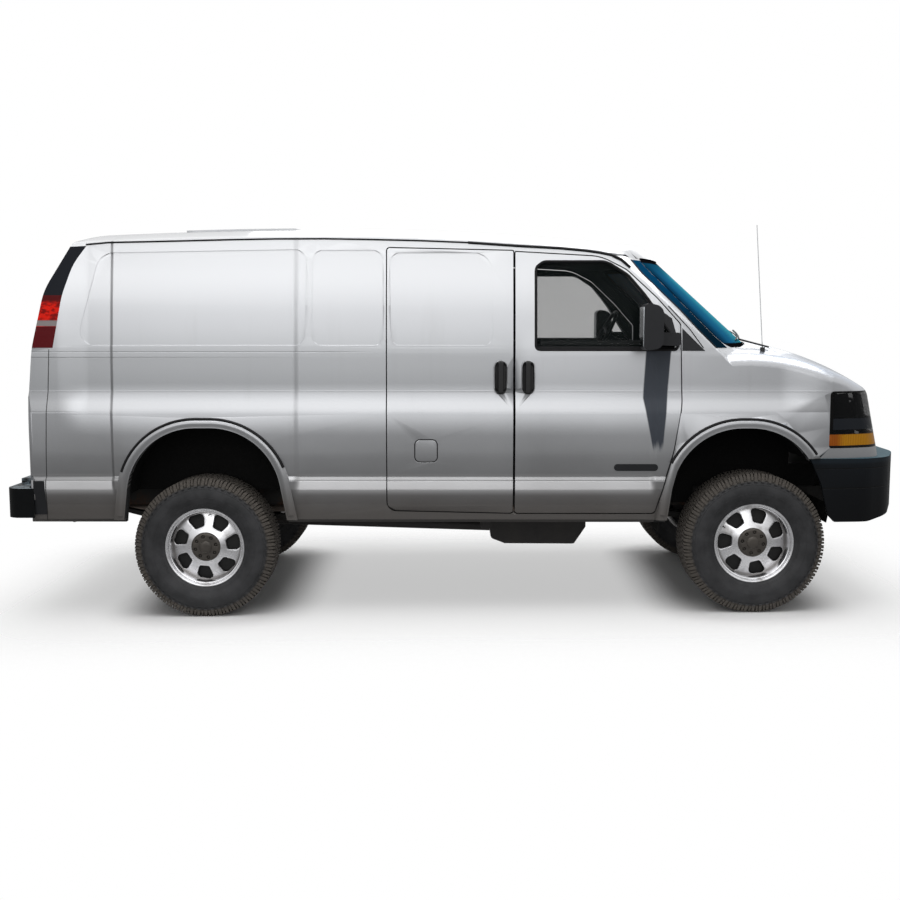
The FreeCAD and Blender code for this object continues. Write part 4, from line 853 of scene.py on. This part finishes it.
OPENING_HALF = 303
header = []
quarter_skin = skin_of("body_side_right")
for z in range(2130, 2380, 4):
    hit = touch(quarter_skin, (-3100, -OPENING_HALF, z), (1, 0, 0))
    if hit is not None and hit.x < -2.3:
        header.append([Vector((hit.x + 0.004, y / 1000.0, hit.z)) for y in range(-OPENING_HALF, OPENING_HALF + 1, 101)])
tucked = [p + Vector((0.006, 0, 0.008)) for p in header[-1]]
header = [header[0]] + header[2:-2:6] + [header[-1], tucked]
keep("rear_header", sheet_on("rear_header", header, Vector((-0.004, 0, 0))), silver_paint)

# Window seals
# Extruded rubber seals go round the door windows, pressed over the edge of the opening.
# Along the sill a thin strip wipes the pane outside, and a thick trim roll lies inside.

WINDOW = (
    (456.0, 1661.0, 26), (1330.0, 1661.0, 20), (1137.0, 1960.0, 60), (1010.0, 2108.0, 120), (880.0, 2191.0, 90),
    (456.0, 2191.0, 60),
)
for side, name in SIDES:
    door = skin_of("door_front_" + name)
    glass = skin_of("glass_front_" + name)
    loop = rounded(WINDOW)
    loop = spread(loop + loop[:1], 60.0)[:-1]
    seal = []
    for x, z in loop:
        x += 6.0 if x > 900 else -6.0 if x < 470 else 0.0
        z += 5.0 if z > 2000 else -5.0 if z < 1700 else 0.0
        hit = on_side(door, x, z, side)
        if hit is not None:
            seal.append(hit - Vector((0, side * 0.002, 0)))
    meshes = [bar("seal", [seal], 0.009, seal_rubber, closed=True)]
    for spots, z, lift, thick in (
        ((470, 700, 900, 1100, 1300), 1668, 0.004, 0.008), ((480, 700, 900, 1100, 1290), 1692, -0.034, 0.028),
    ):
        meshes.append(bar("sill", [found(on_side(glass, x, z, side, lift) for x in spots)], thick, seal_rubber))
    keep("window_seal_" + name, meshes, seal_rubber, "front_door_" + name)

# Glass
# The windscreen is laminated and tinted blue-green with a black fired edge; its colour is painted navy at the sides and
# pale in the middle, as painted shade and painted reflection.
# The door windows are toughened, lightly tinted panes set in black rubber.


def screen_tint_and_reflection(place):
    height = place.axis("Z")
    across = place.axis("Y").size()
    half = 0.850 - (height - 1.66) * 0.143
    edge = (half - across).least(2.215 - height).least(height - 1.652)
    inner = half - across
    # Painted shade and reflection: the blue-green tint is painted navy near the side edges and pale towards the middle.
    colour = inner.ramp(0.03, 0.16).mixed((0.003, 0.03, 0.07), (0.010, 0.11, 0.23))
    colour = inner.ramp(0.14, 0.40).mixed(colour, (0.04, 0.29, 0.38))
    colour = inner.ramp(0.40, 0.75).mixed(colour, (0.13, 0.44, 0.52))
    colour = inner.ramp(0.75, 1.30).mixed(colour, (0.40, 0.68, 0.76))
    colour = (height.ramp(2.08, 2.2) * 0.8).mixed(colour, (0.004, 0.05, 0.10))
    border = edge.ramp(0.032, 0.024)
    return {
        "Base Color": border.mixed(colour, (0.004, 0.004, 0.005)),
        "Alpha": (border + 0.9).least(1.0),
        "Roughness": place.noise(3.0) * 0.04 + 0.2,
    }


def tinted_pane(place):
    return {
        "Base Color": place.noise(2.0).mixed((0.010, 0.014, 0.014), (0.016, 0.022, 0.021)),
        "Alpha": place.noise(1.5) * 0.04 + 0.22,
        "Roughness": place.noise(5.0) * 0.04 + 0.02,
    }


window_glass = finish("window_glass", tinted_pane, IOR=1.5, Specular_IOR_Level=0.06)
dress(finish("screen_glass", screen_tint_and_reflection, IOR=1.5, Specular_IOR_Level=0.0), "windshield")
dress(window_glass, "glass_front_left", "glass_front_right", "glass_rear_left", "glass_rear_right")

# Lamps and grille
# Moulded clear lenses over bright bowls in a black bucket, with an amber strip along the foot of each.
# The tail lamps are red with a clear band, under a black filler that runs up to the roof.


def head_lens(place):
    along, height = levelled(place)
    amber = height.ramp(1.137, 1.135)
    foot = height.ramp(1.068, 1.066)
    flutes = (place.axis("Y") * 420.0 + place.axis("X") * 380.0).wave() * 0.5 + 0.5
    rear = along.ramp(2.37, 2.30)
    housing = height.ramp(1.235, 1.232) * height.ramp(1.163, 1.166)
    rim = (along - 2.266).ramp(0.022, 0.014).most(height.ramp(1.385, 1.392))
    colour = flutes.mixed((0.42, 0.17, 0.006), (0.60, 0.27, 0.012))
    colour = (rear * 0.8).mixed(colour, (0.30, 0.055, 0.008))
    colour = foot.mixed(colour, (0.006, 0.006, 0.007))
    dark = housing.mixed((0.004, 0.0045, 0.005), (0.016, 0.019, 0.024))
    return {
        "Base Color": amber.mixed(rim.mixed(dark, (0.003, 0.003, 0.003)), colour),
        "Alpha": amber.most(housing * 0.97).most(rim).most(0.74),
        "Roughness": 0.06 + flutes * amber * 0.12,
        "Relief": (flutes * amber, 0.0006),
    }


def tail_lens(place):
    _, height = levelled(place)
    flutes = (height * 900.0).wave() * 0.5 + 0.5
    mottle = place.stretched(1.0, 1.0, 2.0).noise(26.0, 2.0).ramp(0.35, 0.6)
    clear = height.ramp(1.800, 1.803) * height.ramp(1.838, 1.835)
    low = height.ramp(1.800, 1.797)
    filler = height.ramp(1.989, 1.991)
    colour = mottle.mixed((0.24, 0.004, 0.003), (0.85, 0.014, 0.004))
    colour = height.ramp(1.93, 1.965).mixed(colour, (0.10, 0.004, 0.005))
    colour = low.mixed(colour, (0.115, 0.005, 0.008))
    colour = clear.mixed(colour, flutes.mixed((0.16, 0.11, 0.10), (0.42, 0.40, 0.40)))
    colour = filler.mixed(colour, (0.008, 0.010, 0.015))
    return {
        "Base Color": colour,
        "Roughness": filler * 0.1 + flutes * 0.08 + 0.12,
        "Relief": (flutes * (1.0 - filler), 0.0004),
    }


bright = mottled(
    "bright_reflector", 8.0, ((0.42, 0.45, 0.48), (0.6, 0.62, 0.64)), (30.0, 0.06, 0.08), Metallic=1.0
)
faired("headlamps", finish("lamp_lens", head_lens, Specular_IOR_Level=0.15))
faired("tail_lamps", finish("tail_lens", tail_lens, Specular_IOR_Level=0.12))


def whip(place):
    mast = place.axis("Z").ramp(1.66, 1.70)
    return {
        "Base Color": (mast * (0.8 + place.noise(40.0) * 0.2)).mixed((0.01, 0.01, 0.01), (0.72, 0.73, 0.74)),
        "Roughness": 0.5 - mast * 0.2,
    }


dress(finish("antenna_steel", whip), "antenna")
dress(moulded_black, "grille", "mirror_left", "mirror_right", "dashboard")

bowl = [(0.0, 0.006), (-0.004, 0.02), (0.004, 0.035), (0.022, 0.058), (0.052, 0.078), (0.056, 0.084), (0.05, 0.086)]
bowl += [(0.018, 0.066), (-0.004, 0.046), (-0.012, 0.02), (-0.012, 0.006)]
for side, name in SIDES:
    dishes = []
    for x, y, z, scale in ((2452, 760, 1268, 1.0), (2520, 640, 1230, 0.72)):
        points, faces, _ = lathe(bowl, 36)
        dish = drawn("bowl", points, faces)
        aim = Matrix.Rotation(math.radians(-90.0 + side * 24.0), 4, "Z") @ Matrix.Scale(scale, 4)
        dish.transform(Matrix.Translation(level(x, side * y, z)) @ aim)
        dishes.append(dish)
    keep("lamp_bowls_" + name, dishes, bright)
    wall = [(2296, 905), (2330, 890), (2450, 850), (2530, 780), (2575, 660), (2585, 585)]
    points = [level(x - 50 - (z - 1157) * 0.21, side * y, z) for x, y in wall for z in (1062, 1160, 1280, 1380)]
    corners = [4 * i + j for i in range(len(wall) - 1) for j in range(3)]
    faces = [(a, a + 1, a + 5, a + 4) for a in corners]
    bucket = drawn("lamp_bucket_" + name, points, faces)
    keep("lamp_bucket_" + name, bucket, moulded_black)

# Bumpers
# The front one is one grained black moulding with two shut lines, its top tinted bluer and lighter as a painted sky
# reflection; the rear one is a black steel step, worn pale on top.


def bumper_plastic(place):
    height = place.axis("Z")
    dust = place.noise(3.0, 5.0) * height.ramp(0.6, 1.0)
    up = place.facing().axis("Z").ramp(0.3, 0.9)
    lines = height.line(0.782, 0.004, 0.002).most(height.line(0.905, 0.003, 0.0015))
    colour = dust.mixed((0.0035, 0.004, 0.005), (0.010, 0.013, 0.017))
    # Painted sky reflection: the upper band and the faces turned up are tinted lighter and bluer.
    band = height.ramp(0.925, 0.95) * 0.7
    colour = band.mixed(colour, (0.016, 0.024, 0.032))
    colour = (up * 0.8).mixed(colour, (0.04, 0.10, 0.13))
    colour = lines.mixed(colour, (0.003, 0.003, 0.003))
    return {
        "Base Color": colour,
        "Roughness": 0.42 + place.noise(30.0) * 0.2,
        "Relief": (place.noise(500.0, 1.0) * 0.3 - lines * 4.0, 0.0004),
    }


def bumper_steel(place):
    up = place.facing().axis("Z").ramp(0.5, 0.9)
    worn = place.noise(14.0, 5.0).ramp(0.35, 0.6)
    return {
        "Base Color": (up * worn).mixed((0.003, 0.0035, 0.004), (0.16, 0.20, 0.23)),
        "Roughness": place.noise(20.0) * 0.3 + 0.3,
        "Metallic": up * worn * 0.6,
    }


faired("bumper_front", finish("bumper_plastic", bumper_plastic, Specular_IOR_Level=0.12))
faired("bumper_rear", finish("bumper_steel", bumper_steel, Specular_IOR_Level=0.12))

# Wheels
# Seven-window cast aluminium, turned bright on the lip, with a dark hub plate and eight recessed nuts. A black disc
# behind the spokes and black paint behind the hub plate are painted shade.
# Wide all-terrain tyres with a dusty brown tread: shoulder lugs run over the side, three block rows between.


def alloy(place):
    out, radius = place.band().axis("X"), place.band().axis("Y")
    grime = place.noise(11.0, 5.0)
    hub = radius.ramp(0.0925, 0.0915)
    rings = (radius * 1900.0).wave() * radius.ramp(0.215, 0.222)
    barrel = radius.ramp(0.196, 0.212) * out.ramp(0.098, 0.08)
    web = out.ramp(0.0475, 0.0465) * radius.ramp(0.214, 0.2125) * radius.ramp(0.095, 0.097)
    # Darker brown-grey in grime patches and over the barrel inside the face.
    dust = (grime.ramp(0.5, 0.8) * 0.7).most(barrel * 0.6)
    colour = dust.mixed((0.80, 0.80, 0.82), (0.18, 0.165, 0.15))
    colour = hub.mixed(colour, grime.mixed((0.03, 0.028, 0.026), (0.12, 0.105, 0.09)))
    # Painted shade: the disc behind the spokes and the recess behind the hub plate are painted black.
    dark = web.most(radius.ramp(0.098, 0.090) * out.ramp(0.080, 0.075))
    colour = dark.mixed(colour, (0.004, 0.004, 0.004))
    return {
        "Base Color": colour,
        "Metallic": (0.95 - hub * 0.45) * (1.0 - dark),
        "Roughness": grime * 0.16 + 0.2 + hub * 0.22 + dark * 0.4,
        "Relief": (rings, 0.00006),
    }


def tyre_rubber(place):
    out, radius = place.band().axis("X"), place.band().axis("Y")
    dust = place.noise(9.0, 5.0)
    grit = place.noise(60.0, 3.0)
    worn = radius.ramp(0.386, 0.402) * (0.45 + dust * 0.5 + grit * 0.2)
    rings = (radius * 900.0).wave() * radius.ramp(0.262, 0.268) * radius.ramp(0.285, 0.28)
    rings = rings + radius.line(0.372, 0.0025, 0.001) * 2.0 + radius.line(0.318, 0.002, 0.001) * 1.5
    colour = dust.ramp(0.3, 0.75).mixed((0.009, 0.0095, 0.011), (0.034, 0.034, 0.037))
    return {
        "Base Color": worn.mixed(colour, grit.mixed((0.065, 0.056, 0.048), (0.135, 0.118, 0.10))),
        "Roughness": 0.5 + dust * 0.2 + worn * 0.3,
        "Relief": (rings + place.noise(200.0, 2.0) * 0.4, 0.0007),
    }


def ring(ports):
    """Copies of the base set round the wheel's axle from a start, a step apart."""
    nought = (0.0, 0.0, 0.0)
    line = ports["Geometry"].node(
        "GeometryNodeMeshLine", None, {"Count": ports["Count"], "Offset": nought, "Start Location": nought}
    )
    turn = line.node("GeometryNodeInputIndex") * ports["Step"] + ports["Start"]
    spin = turn.node("ShaderNodeCombineXYZ", None, {"Y": turn})
    return line.node(
        "GeometryNodeInstanceOnPoints", None, {"Points": line, "Instance": ports["Geometry"], "Rotation": spin}
    )


def around(name, base, count, start, material):
    """Copies of a mesh spread evenly round the wheel's axle."""
    return grow(name, base, ring, Count=count, Step=2 * math.pi / count, Start=start, Material=material)


def lug(corners, half_low, half_high, slant):
    """One slanted tread block: a section of corners (out, radius), with half its width at foot and top."""
    points, faces, bands = [], [], []
    middle = (corners[0][0] + corners[len(corners) // 2][0]) / 2
    for sense in (-1, 1):
        for k, (out, radius) in enumerate(corners):
            half = half_low if k in (0, len(corners) - 1) else half_high
            aside = sense * half + slant * (out - middle)
            radius = math.sqrt(radius * radius - aside * aside)
            points.append((aside, out, radius))
            bands.append((out, radius))
    n = len(corners)
    faces = [tuple(range(n)), tuple(range(2 * n - 1, n - 1, -1))]
    faces += [(i, i + n, (i + 1) % n + n, (i + 1) % n) for i in range(n)]
    return drawn("lug", points, faces, bands, smooth=False)


def tread_tyre(material):
    side = [
        (0.111, 0.2300), (0.118, 0.246), (0.128, 0.262), (0.140, 0.288), (0.1485, 0.318), (0.1495, 0.335),
        (0.1470, 0.360), (0.1415, 0.382), (0.1350, 0.400), (0.126, 0.416), (0.114, 0.4245), (0.060, 0.4268),
    ]
    profile = side + [(-out, radius) for out, radius in reversed(side)]
    meshes = [drawn("carcass", *lathe(profile, 128))]
    lugs, blocks = 58, 78
    root = [(0.068, 0.42), (0.118, 0.405)]
    long_lug = [(0.1450, 0.384), (0.1472, 0.390), (0.1405, 0.407), (0.1285, 0.4300), (0.1215, 0.4378), (0.068, 0.4378)]
    short_lug = [(0.1395, 0.398), (0.1418, 0.403), (0.1285, 0.4300), (0.1215, 0.4376), (0.068, 0.4376)]
    for sense in (1, -1):
        for section, half, turn in ((long_lug + root, 0.0098, 0.0), (short_lug + root, 0.0066, 0.0565)):
            block = lug([(sense * out, radius) for out, radius in section], half, half - 0.0006, 0.12)
            meshes.append(around("shoulder_lugs", block, lugs, turn + 0.013 * sense, material))
    low, high = 0.424, 0.4378
    for middle, wide, start in ((0.046, 0.028, 0.0), (0.0, 0.034, 0.03), (-0.046, 0.028, 0.06)):
        near, far = middle - wide / 2, middle + wide / 2
        block = lug([(near, low), (near, high), (far, high), (far, low)], 0.0145, 0.0135, 0.25)
        meshes.append(around("block_row", block, blocks, start, material))
    return together("tread_tyre", meshes)


def between(table, value):
    """A value read off a table of (place, value) pairs, along straight lines."""
    for (a, u), (b, v) in zip(table, table[1:]):
        if value <= b:
            share = max(0.0, (value - a) / (b - a))
            return u + (v - u) * share
    return table[-1][1]


def reach_out(outline, centre, direction):
    """How far a ray from the centre goes to the outline."""
    best = 1.0
    count = len(outline)
    for i in range(count):
        a = Vector(outline[i]) - centre
        b = Vector(outline[(i + 1) % count]) - centre
        edge = b - a
        cross = direction.x * edge.y - direction.y * edge.x
        if abs(cross) < 1e-12:
            continue
        t = (a.x * edge.y - a.y * edge.x) / cross
        u = (a.x * direction.y - a.y * direction.x) / cross
        if t > 0 and -1e-9 <= u <= 1 + 1e-9:
            best = min(best, t)
    return best


def pierced_disc(count, inner, outer, window, dish, thick, edge):
    """A disc dished by a table, with equal windows: each sector is rings from its edges in to its window's."""
    half = math.pi / count
    fan = []
    for radius, first, parts in ((inner, -half, 8), (outer, half, 12)):
        arc = [first * (1 - 2 * k / parts) for k in range(parts + 1)]
        fan += [(radius * math.sin(turn), radius * math.cos(turn)) for turn in arc]
    middle = Vector((0.0, (inner + outer) / 2))
    corners = [Vector(fan[k]) - middle for k in (0, 8, 9, 21)]
    turns = {round(math.atan2(c.y, c.x), 6) for c in corners}
    turns |= {round(2 * math.pi * k / 48 - math.pi, 6) for k in range(48)}
    rows = []
    steps = ((0.0, 0.0), (0.3, 0.0), (0.6, 0.0), (0.85, 0.0), (0.94, -0.15 * edge), (0.985, -0.5 * edge), (1.0, -edge))
    for turn in sorted(turns):
        way = Vector((math.cos(turn), math.sin(turn)))
        far = reach_out(fan, middle, way)
        near = reach_out(window, middle, way)
        row = []
        for share, drop in steps:
            spot = middle + way * (far + (near - far) * share)
            row.append((spot.x, between(dish, spot.length) + drop, spot.y, spot.length))
        for share in (1.0, 0.0):
            spot = middle + way * (far + (near - far) * share)
            row.append((spot.x, between(dish, spot.length) - thick, spot.y, spot.length))
        rows.append(row)
    points, faces, bands = [], [], []
    depth = len(rows[0])
    for k in range(count):
        base = len(points)
        spin = 2 * math.pi * k / count
        cos, sin = math.cos(spin), math.sin(spin)
        for row in rows:
            for x, out, z, radius in row:
                points.append((x * cos + z * sin, out, z * cos - x * sin))
                bands.append((out, radius))
        for i in range(len(rows)):
            for j in range(depth - 1):
                a = base + i * depth + j
                b = base + (i + 1) % len(rows) * depth + j
                faces.append((a, b, b + 1, a + 1))
    return drawn("pierced_disc", points, faces, bands)


def cast_wheel():
    barrel = [
        (0.120, 0.2475), (0.1238, 0.2470), (0.1240, 0.2430), (0.1205, 0.2370), (0.1110, 0.2335), (0.1065, 0.2290),
        (0.1040, 0.2230), (0.0980, 0.2205), (0.0600, 0.2165), (0.0200, 0.2120), (-0.1000, 0.2120), (-0.1200, 0.2300),
        (-0.1235, 0.2460), (-0.1150, 0.2475), (-0.1120, 0.2292), (-0.1000, 0.2285), (0.1060, 0.2288), (0.1120, 0.2310),
        (0.1160, 0.2470),
    ]
    dish = (
        (0.088, 0.090), (0.100, 0.086), (0.115, 0.080), (0.140, 0.071), (0.170, 0.061), (0.200, 0.053), (0.222, 0.050),
    )
    shield = rounded([
        (-0.034, 0.127, 0.014), (0.028, 0.125, 0.014), (0.058, 0.192, 0.018), (0.036, 0.209, 0.02),
        (-0.050, 0.204, 0.024),
    ], 5)
    spokes = pierced_disc(7, 0.090, 0.2185, shield, dish, 0.016, 0.007)
    bolts, hole, half = 0.066, 0.0105, 0.0062
    turns = [2 * math.pi * k / 24 for k in range(24)]
    circle = [(hole * math.cos(turn), bolts + hole * math.sin(turn)) for turn in turns]
    plate_dish = ((0.040, 0.104), (0.078, 0.102), (0.086, 0.098), (0.092, 0.088))
    plate = pierced_disc(8, 0.040, 0.092, circle, plate_dish, 0.012, 0.002)
    cap = drawn("cap", *lathe([
        (0.088, 0.0001), (0.088, 0.0405), (0.1035, 0.0405), (0.108, 0.038), (0.113, 0.031), (0.1152, 0.022),
        (0.1158, 0.010), (0.1159, 0.0001),
    ], 48))
    back = drawn("back", *lathe([(0.060, 0.0001), (0.060, 0.088), (0.072, 0.088), (0.072, 0.0001)], 48))
    # A black disc behind the spokes, a dark sheet standing for the shade inside the wheel.
    web = drawn("web", *lathe([(0.0465, 0.096), (0.0300, 0.2115), (0.0285, 0.2115), (0.0450, 0.096)], 96))
    turns = [math.pi / 3 * k for k in range(6)]
    points = [(half * math.cos(turn), out, bolts + half * math.sin(turn)) for out in (0.07, 0.099) for turn in turns]
    faces = [(0, 1, 2, 3, 4, 5), (11, 10, 9, 8, 7, 6)] + [(k, k + 6, (k + 1) % 6 + 6, (k + 1) % 6) for k in range(6)]
    nut_form = drawn("stud", points, faces, [(0.09, bolts)] * 12, smooth=False)
    studs = around("wheel_nuts", nut_form, 8, 0.0, alloy_paint)
    stem = [(0.060, 0.0001), (0.060, 0.0035), (0.092, 0.0030), (0.096, 0.0038), (0.104, 0.0038), (0.104, 0.0001)]
    valve = drawn("valve", *lathe(stem, 10))
    valve.transform(Matrix.Translation((0.085, 0.0, 0.186)))
    return together("cast_wheel", [drawn("barrel", *lathe(barrel, 144)), spokes, plate, cap, back, web, studs, valve])


alloy_paint = finish("rim_alloy", alloy)
tyre_paint = finish("tyre_rubber", tyre_rubber)
FORMS = (
    ("tread_tyre", tread_tyre(tyre_paint), tyre_paint, "tyre_", "tyre_rubber"),
    ("cast_wheel", cast_wheel(), alloy_paint, "rim_", "rim_alloy"),
)
HALF_TRACK = 0.855
for corner, (axle_x, side) in CORNERS.items():
    place = Matrix.Translation((axle_x, side * HALF_TRACK, HUB)) @ Matrix.Rotation(0.0 if side > 0 else math.pi, 4, "Z")
    place = place @ Matrix.Rotation(0.35 * axle_x, 4, "Y")
    for label, form, paint, node, slot in FORMS:
        made = keep(label + "_" + corner, together(label, [form], place), paint, "wheel_" + corner)
        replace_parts(made, node + corner)

# Seats
# Foam cushions in dark woven cloth, held on boxed steel bases that are bolted to the floor.
# Each pad is blown up a little in its cover.


def woven(place):
    weave = (place.axis("X") * 2600.0).wave() * (place.axis("Y") * 2600.0 + place.axis("Z") * 2600.0).wave()
    wear = place.noise(6.0, 4.0)
    return {
        "Base Color": (wear * 0.7 + weave * 0.15 + 0.1).mixed((0.012, 0.012, 0.014), (0.05, 0.05, 0.054)),
        "Roughness": 0.8 + wear * 0.15,
        "Relief": (weave + place.noise(30.0) * 1.5, 0.0006),
    }


seat_cloth = finish("seat_cloth", woven, Sheen_Weight=0.3)


def pad(name, outline, width, crown):
    """A pad: a side outline (x, z, radius) across a width, rounded, and blown up in its cover by a crown at most."""
    loop = rounded([(x / 1000.0, z / 1000.0, r / 1000.0) for x, z, r in outline], 4)
    form = bmesh.new()
    rings = []
    middle = sum((Vector(p) for p in loop), Vector((0, 0))) / len(loop)
    for share in (-1.0, -0.93, -0.80, -0.4, 0.0, 0.4, 0.80, 0.93, 1.0):
        inset = {1.0: 0.032, 0.93: 0.008}.get(abs(share), 0.0)
        ring_of = []
        for p in loop:
            away = Vector(p) - middle
            away = away * (1 - inset / away.length)
            ring_of.append(form.verts.new((middle.x + away.x, share * width / 2, middle.y + away.y)))
        rings.append(ring_of)
    for first, second in zip(rings, rings[1:]):
        for i in range(len(loop)):
            j = (i + 1) % len(loop)
            form.faces.new((first[i], first[j], second[j], second[i]))
    form.faces.new(rings[0])
    form.faces.new(list(reversed(rings[-1])))
    bmesh.ops.recalc_face_normals(form, faces=form.faces)
    mesh = bpy.data.meshes.new(name)
    form.to_mesh(mesh)
    form.free()
    body = placed(name, mesh)
    remesh = body.modifiers.new("even", "REMESH")
    remesh.mode = "VOXEL"
    remesh.voxel_size = 0.008
    even = evaluated(body)
    body.modifiers.clear()
    body.data = even
    start = [v.co.copy() for v in even.vertices]
    cloth = body.modifiers.new("cover", "CLOTH")
    cloth.settings.use_pressure = True
    cloth.settings.uniform_pressure_force = 4.0
    cloth.settings.effector_weights.gravity = 0.0
    first, last = 1, 20
    cloth.point_cache.frame_start = first
    cloth.point_cache.frame_end = last
    for step in range(first, last + 1):
        bpy.context.scene.frame_set(step)
    blown = evaluated(body)
    body.modifiers.clear()
    for before, vertex in zip(start, blown.vertices):
        move = vertex.co - before
        if move.length > crown:
            vertex.co = before + move.normalized() * crown
    body.data = blown
    bpy.context.scene.frame_set(first)
    smooth = body.modifiers.new("even_out", "SUBSURF")
    smooth.levels = smooth.render_levels = 1
    done = evaluated(body)
    bpy.data.objects.remove(body)
    done.shade_smooth()
    return done


PADS = {
    "seat_cushion": ([(556, 1016, 20), (1030, 1016, 30), (1030, 1128, 36), (576, 1100, 26)], 0.455, 0.016),
    "seat_back": ([(452, 1086, 30), (548, 1106, 20), (458, 1722, 36), (350, 1714, 36)], 0.425, 0.016),
    "head_rest": ([(357, 1767, 20), (423, 1774, 20), (405, 1892, 26), (342, 1888, 26)], 0.205, 0.010),
}
pads = {name: pad(name, *shape) for name, shape in PADS.items()}
for side, name in SIDES:
    steel = []
    for x0, x1, y, z0, z1 in ((612, 988, 186, 774, 1004), (590, 1010, 215, 1000, 1014)):
        foot = [(x0, -y), (x1, -y), (x1, y), (x0, y)]
        top = [(x0 + 14, -y + 14), (x1 - 14, -y + 14), (x1 - 14, y - 14), (x0 + 14, y - 14)]
        spots = [level(a, side * 460 + b, z) for ring, z in ((foot, z0), (top, z1)) for a, b in ring]
        steel.append(boxed("base", spots, 0.006, 3))
    posts = [[level(402, side * 460 + d, 1690), level(392, side * 460 + d, 1800)] for d in (-60, 60)]
    steel.append(bar("posts", posts, 0.007, chassis_paint))
    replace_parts(keep("seat_base_" + name, steel, chassis_paint), "seats")
    for label, form in pads.items():
        cover = together(label, [form], RAKE @ Matrix.Translation((0, side * 0.46, 0)))
        cushion = keep(label + "_" + name, cover, seat_cloth)
        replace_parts(cushion, "seats")

# Wipers
# Two black steel arms reach up from the cowl and hold rubber blades on the windscreen.

screen_skin = skin_of("windshield")
wiper_bars, blade_bars = [], []
for foot, tip, mid in ((-640, -60, -330), (60, 640, 370)):
    spots = [((mid - foot) * share * 1.15 + foot, 1690 + 75 * share) for share in (0.25, 0.5, 0.75, 1.0)]
    arm = found(touch(screen_skin, (2400, y, z), (-1, 0, 0), 0.020) for y, z in spots)
    wiper_bars.append([level(1968, foot, 1668)] + arm)
    spots = [(foot + 40 + (tip - foot) * k / 8.0, 1712 + 92 * k / 8.0 * 0.75) for k in range(9)]
    blade_bars.append(found(touch(screen_skin, (2400, y, z), (-1, 0, 0), 0.008) for y, z in spots))
arms = bar("arms", wiper_bars, 0.006, seal_rubber)
blades = bar("blades", blade_bars, 0.0045, seal_rubber)
keep("wipers", [arms, blades], moulded_black)

# Tail furniture and mirror glass
# A black pull handle on one rear door, a bare plate under its lamp on the other, and rubber round both panes.
# A slim rubber edge stands where the two doors meet, and a bright glass fills each door mirror.


def block_on(spot, size, bevel):
    """A block with its edges rounded, about a spot given with the sills level."""
    half = Vector(size) / 2
    square = ((-1, -1), (1, -1), (1, 1), (-1, 1))
    corners = [Vector(spot) + Vector((i * half.x, j * half.y, k * half.z)) for k in (-1, 1) for i, j in square]
    return boxed("block", [level(*p) for p in corners], bevel)


tail_skins = {name: skin_of("door_rear_" + name, "glass_rear_" + name) for _, name in SIDES}


def on_tail(name, y, z, lift=0.0):
    return touch(tail_skins[name], (-3000, y, z), (1, 0, 0), lift)


for side, name in SIDES:
    loop = rounded([(side * 114, 1684, 50), (side * 706, 1684, 50), (side * 686, 2056, 50), (side * 114, 2056, 50)])
    loop = spread(loop + loop[:1], 60.0)[:-1]
    pane = found(on_tail(name, y, z) for y, z in loop)
    edge = found(on_tail(name, side * 12, z, -0.001) for z in range(880, 2110, 60))
    meshes = [bar("pane", [pane], 0.009, seal_rubber, closed=True), bar("edge", [edge], 0.0045, seal_rubber)]
    keep("tail_rubber_" + name, meshes, seal_rubber, "rear_door_" + name)
upright = RAKE.inverted()
x = (upright @ on_tail("right", -70, 1500)).x * 1000
pull = [block_on((x - 6, -78, 1500), (26, 60, 190), 0.009), block_on((x - 20, -78, 1500), (22, 26, 150), 0.009)]
keep("tail_handle", pull, moulded_black, "rear_door_right")
x = (upright @ on_tail("left", 330, 1200)).x * 1000
lamp = [block_on((x - 3, 330, 1310), (14, 380, 34), 0.005), block_on((x - 8, 330, 1336), (26, 200, 22), 0.007)]
keep("plate_lamp", lamp, moulded_black, "rear_door_left")
bare_plate = mottled("bare_plate", 12.0, ((0.42, 0.42, 0.41), (0.5, 0.5, 0.49)), (12.0, 0.2, 0.35))
plate = block_on((x - 3, 330, 1205), (8, 310, 155), 0.003)
keep("plate_blank", plate, bare_plate, "rear_door_left")
for side, name in SIDES:
    glass = block_on((1074, side * 1106, 1796), (6, 140, 236), 0.0025)
    keep("mirror_glass_" + name, glass, bright, "front_door_" + name)
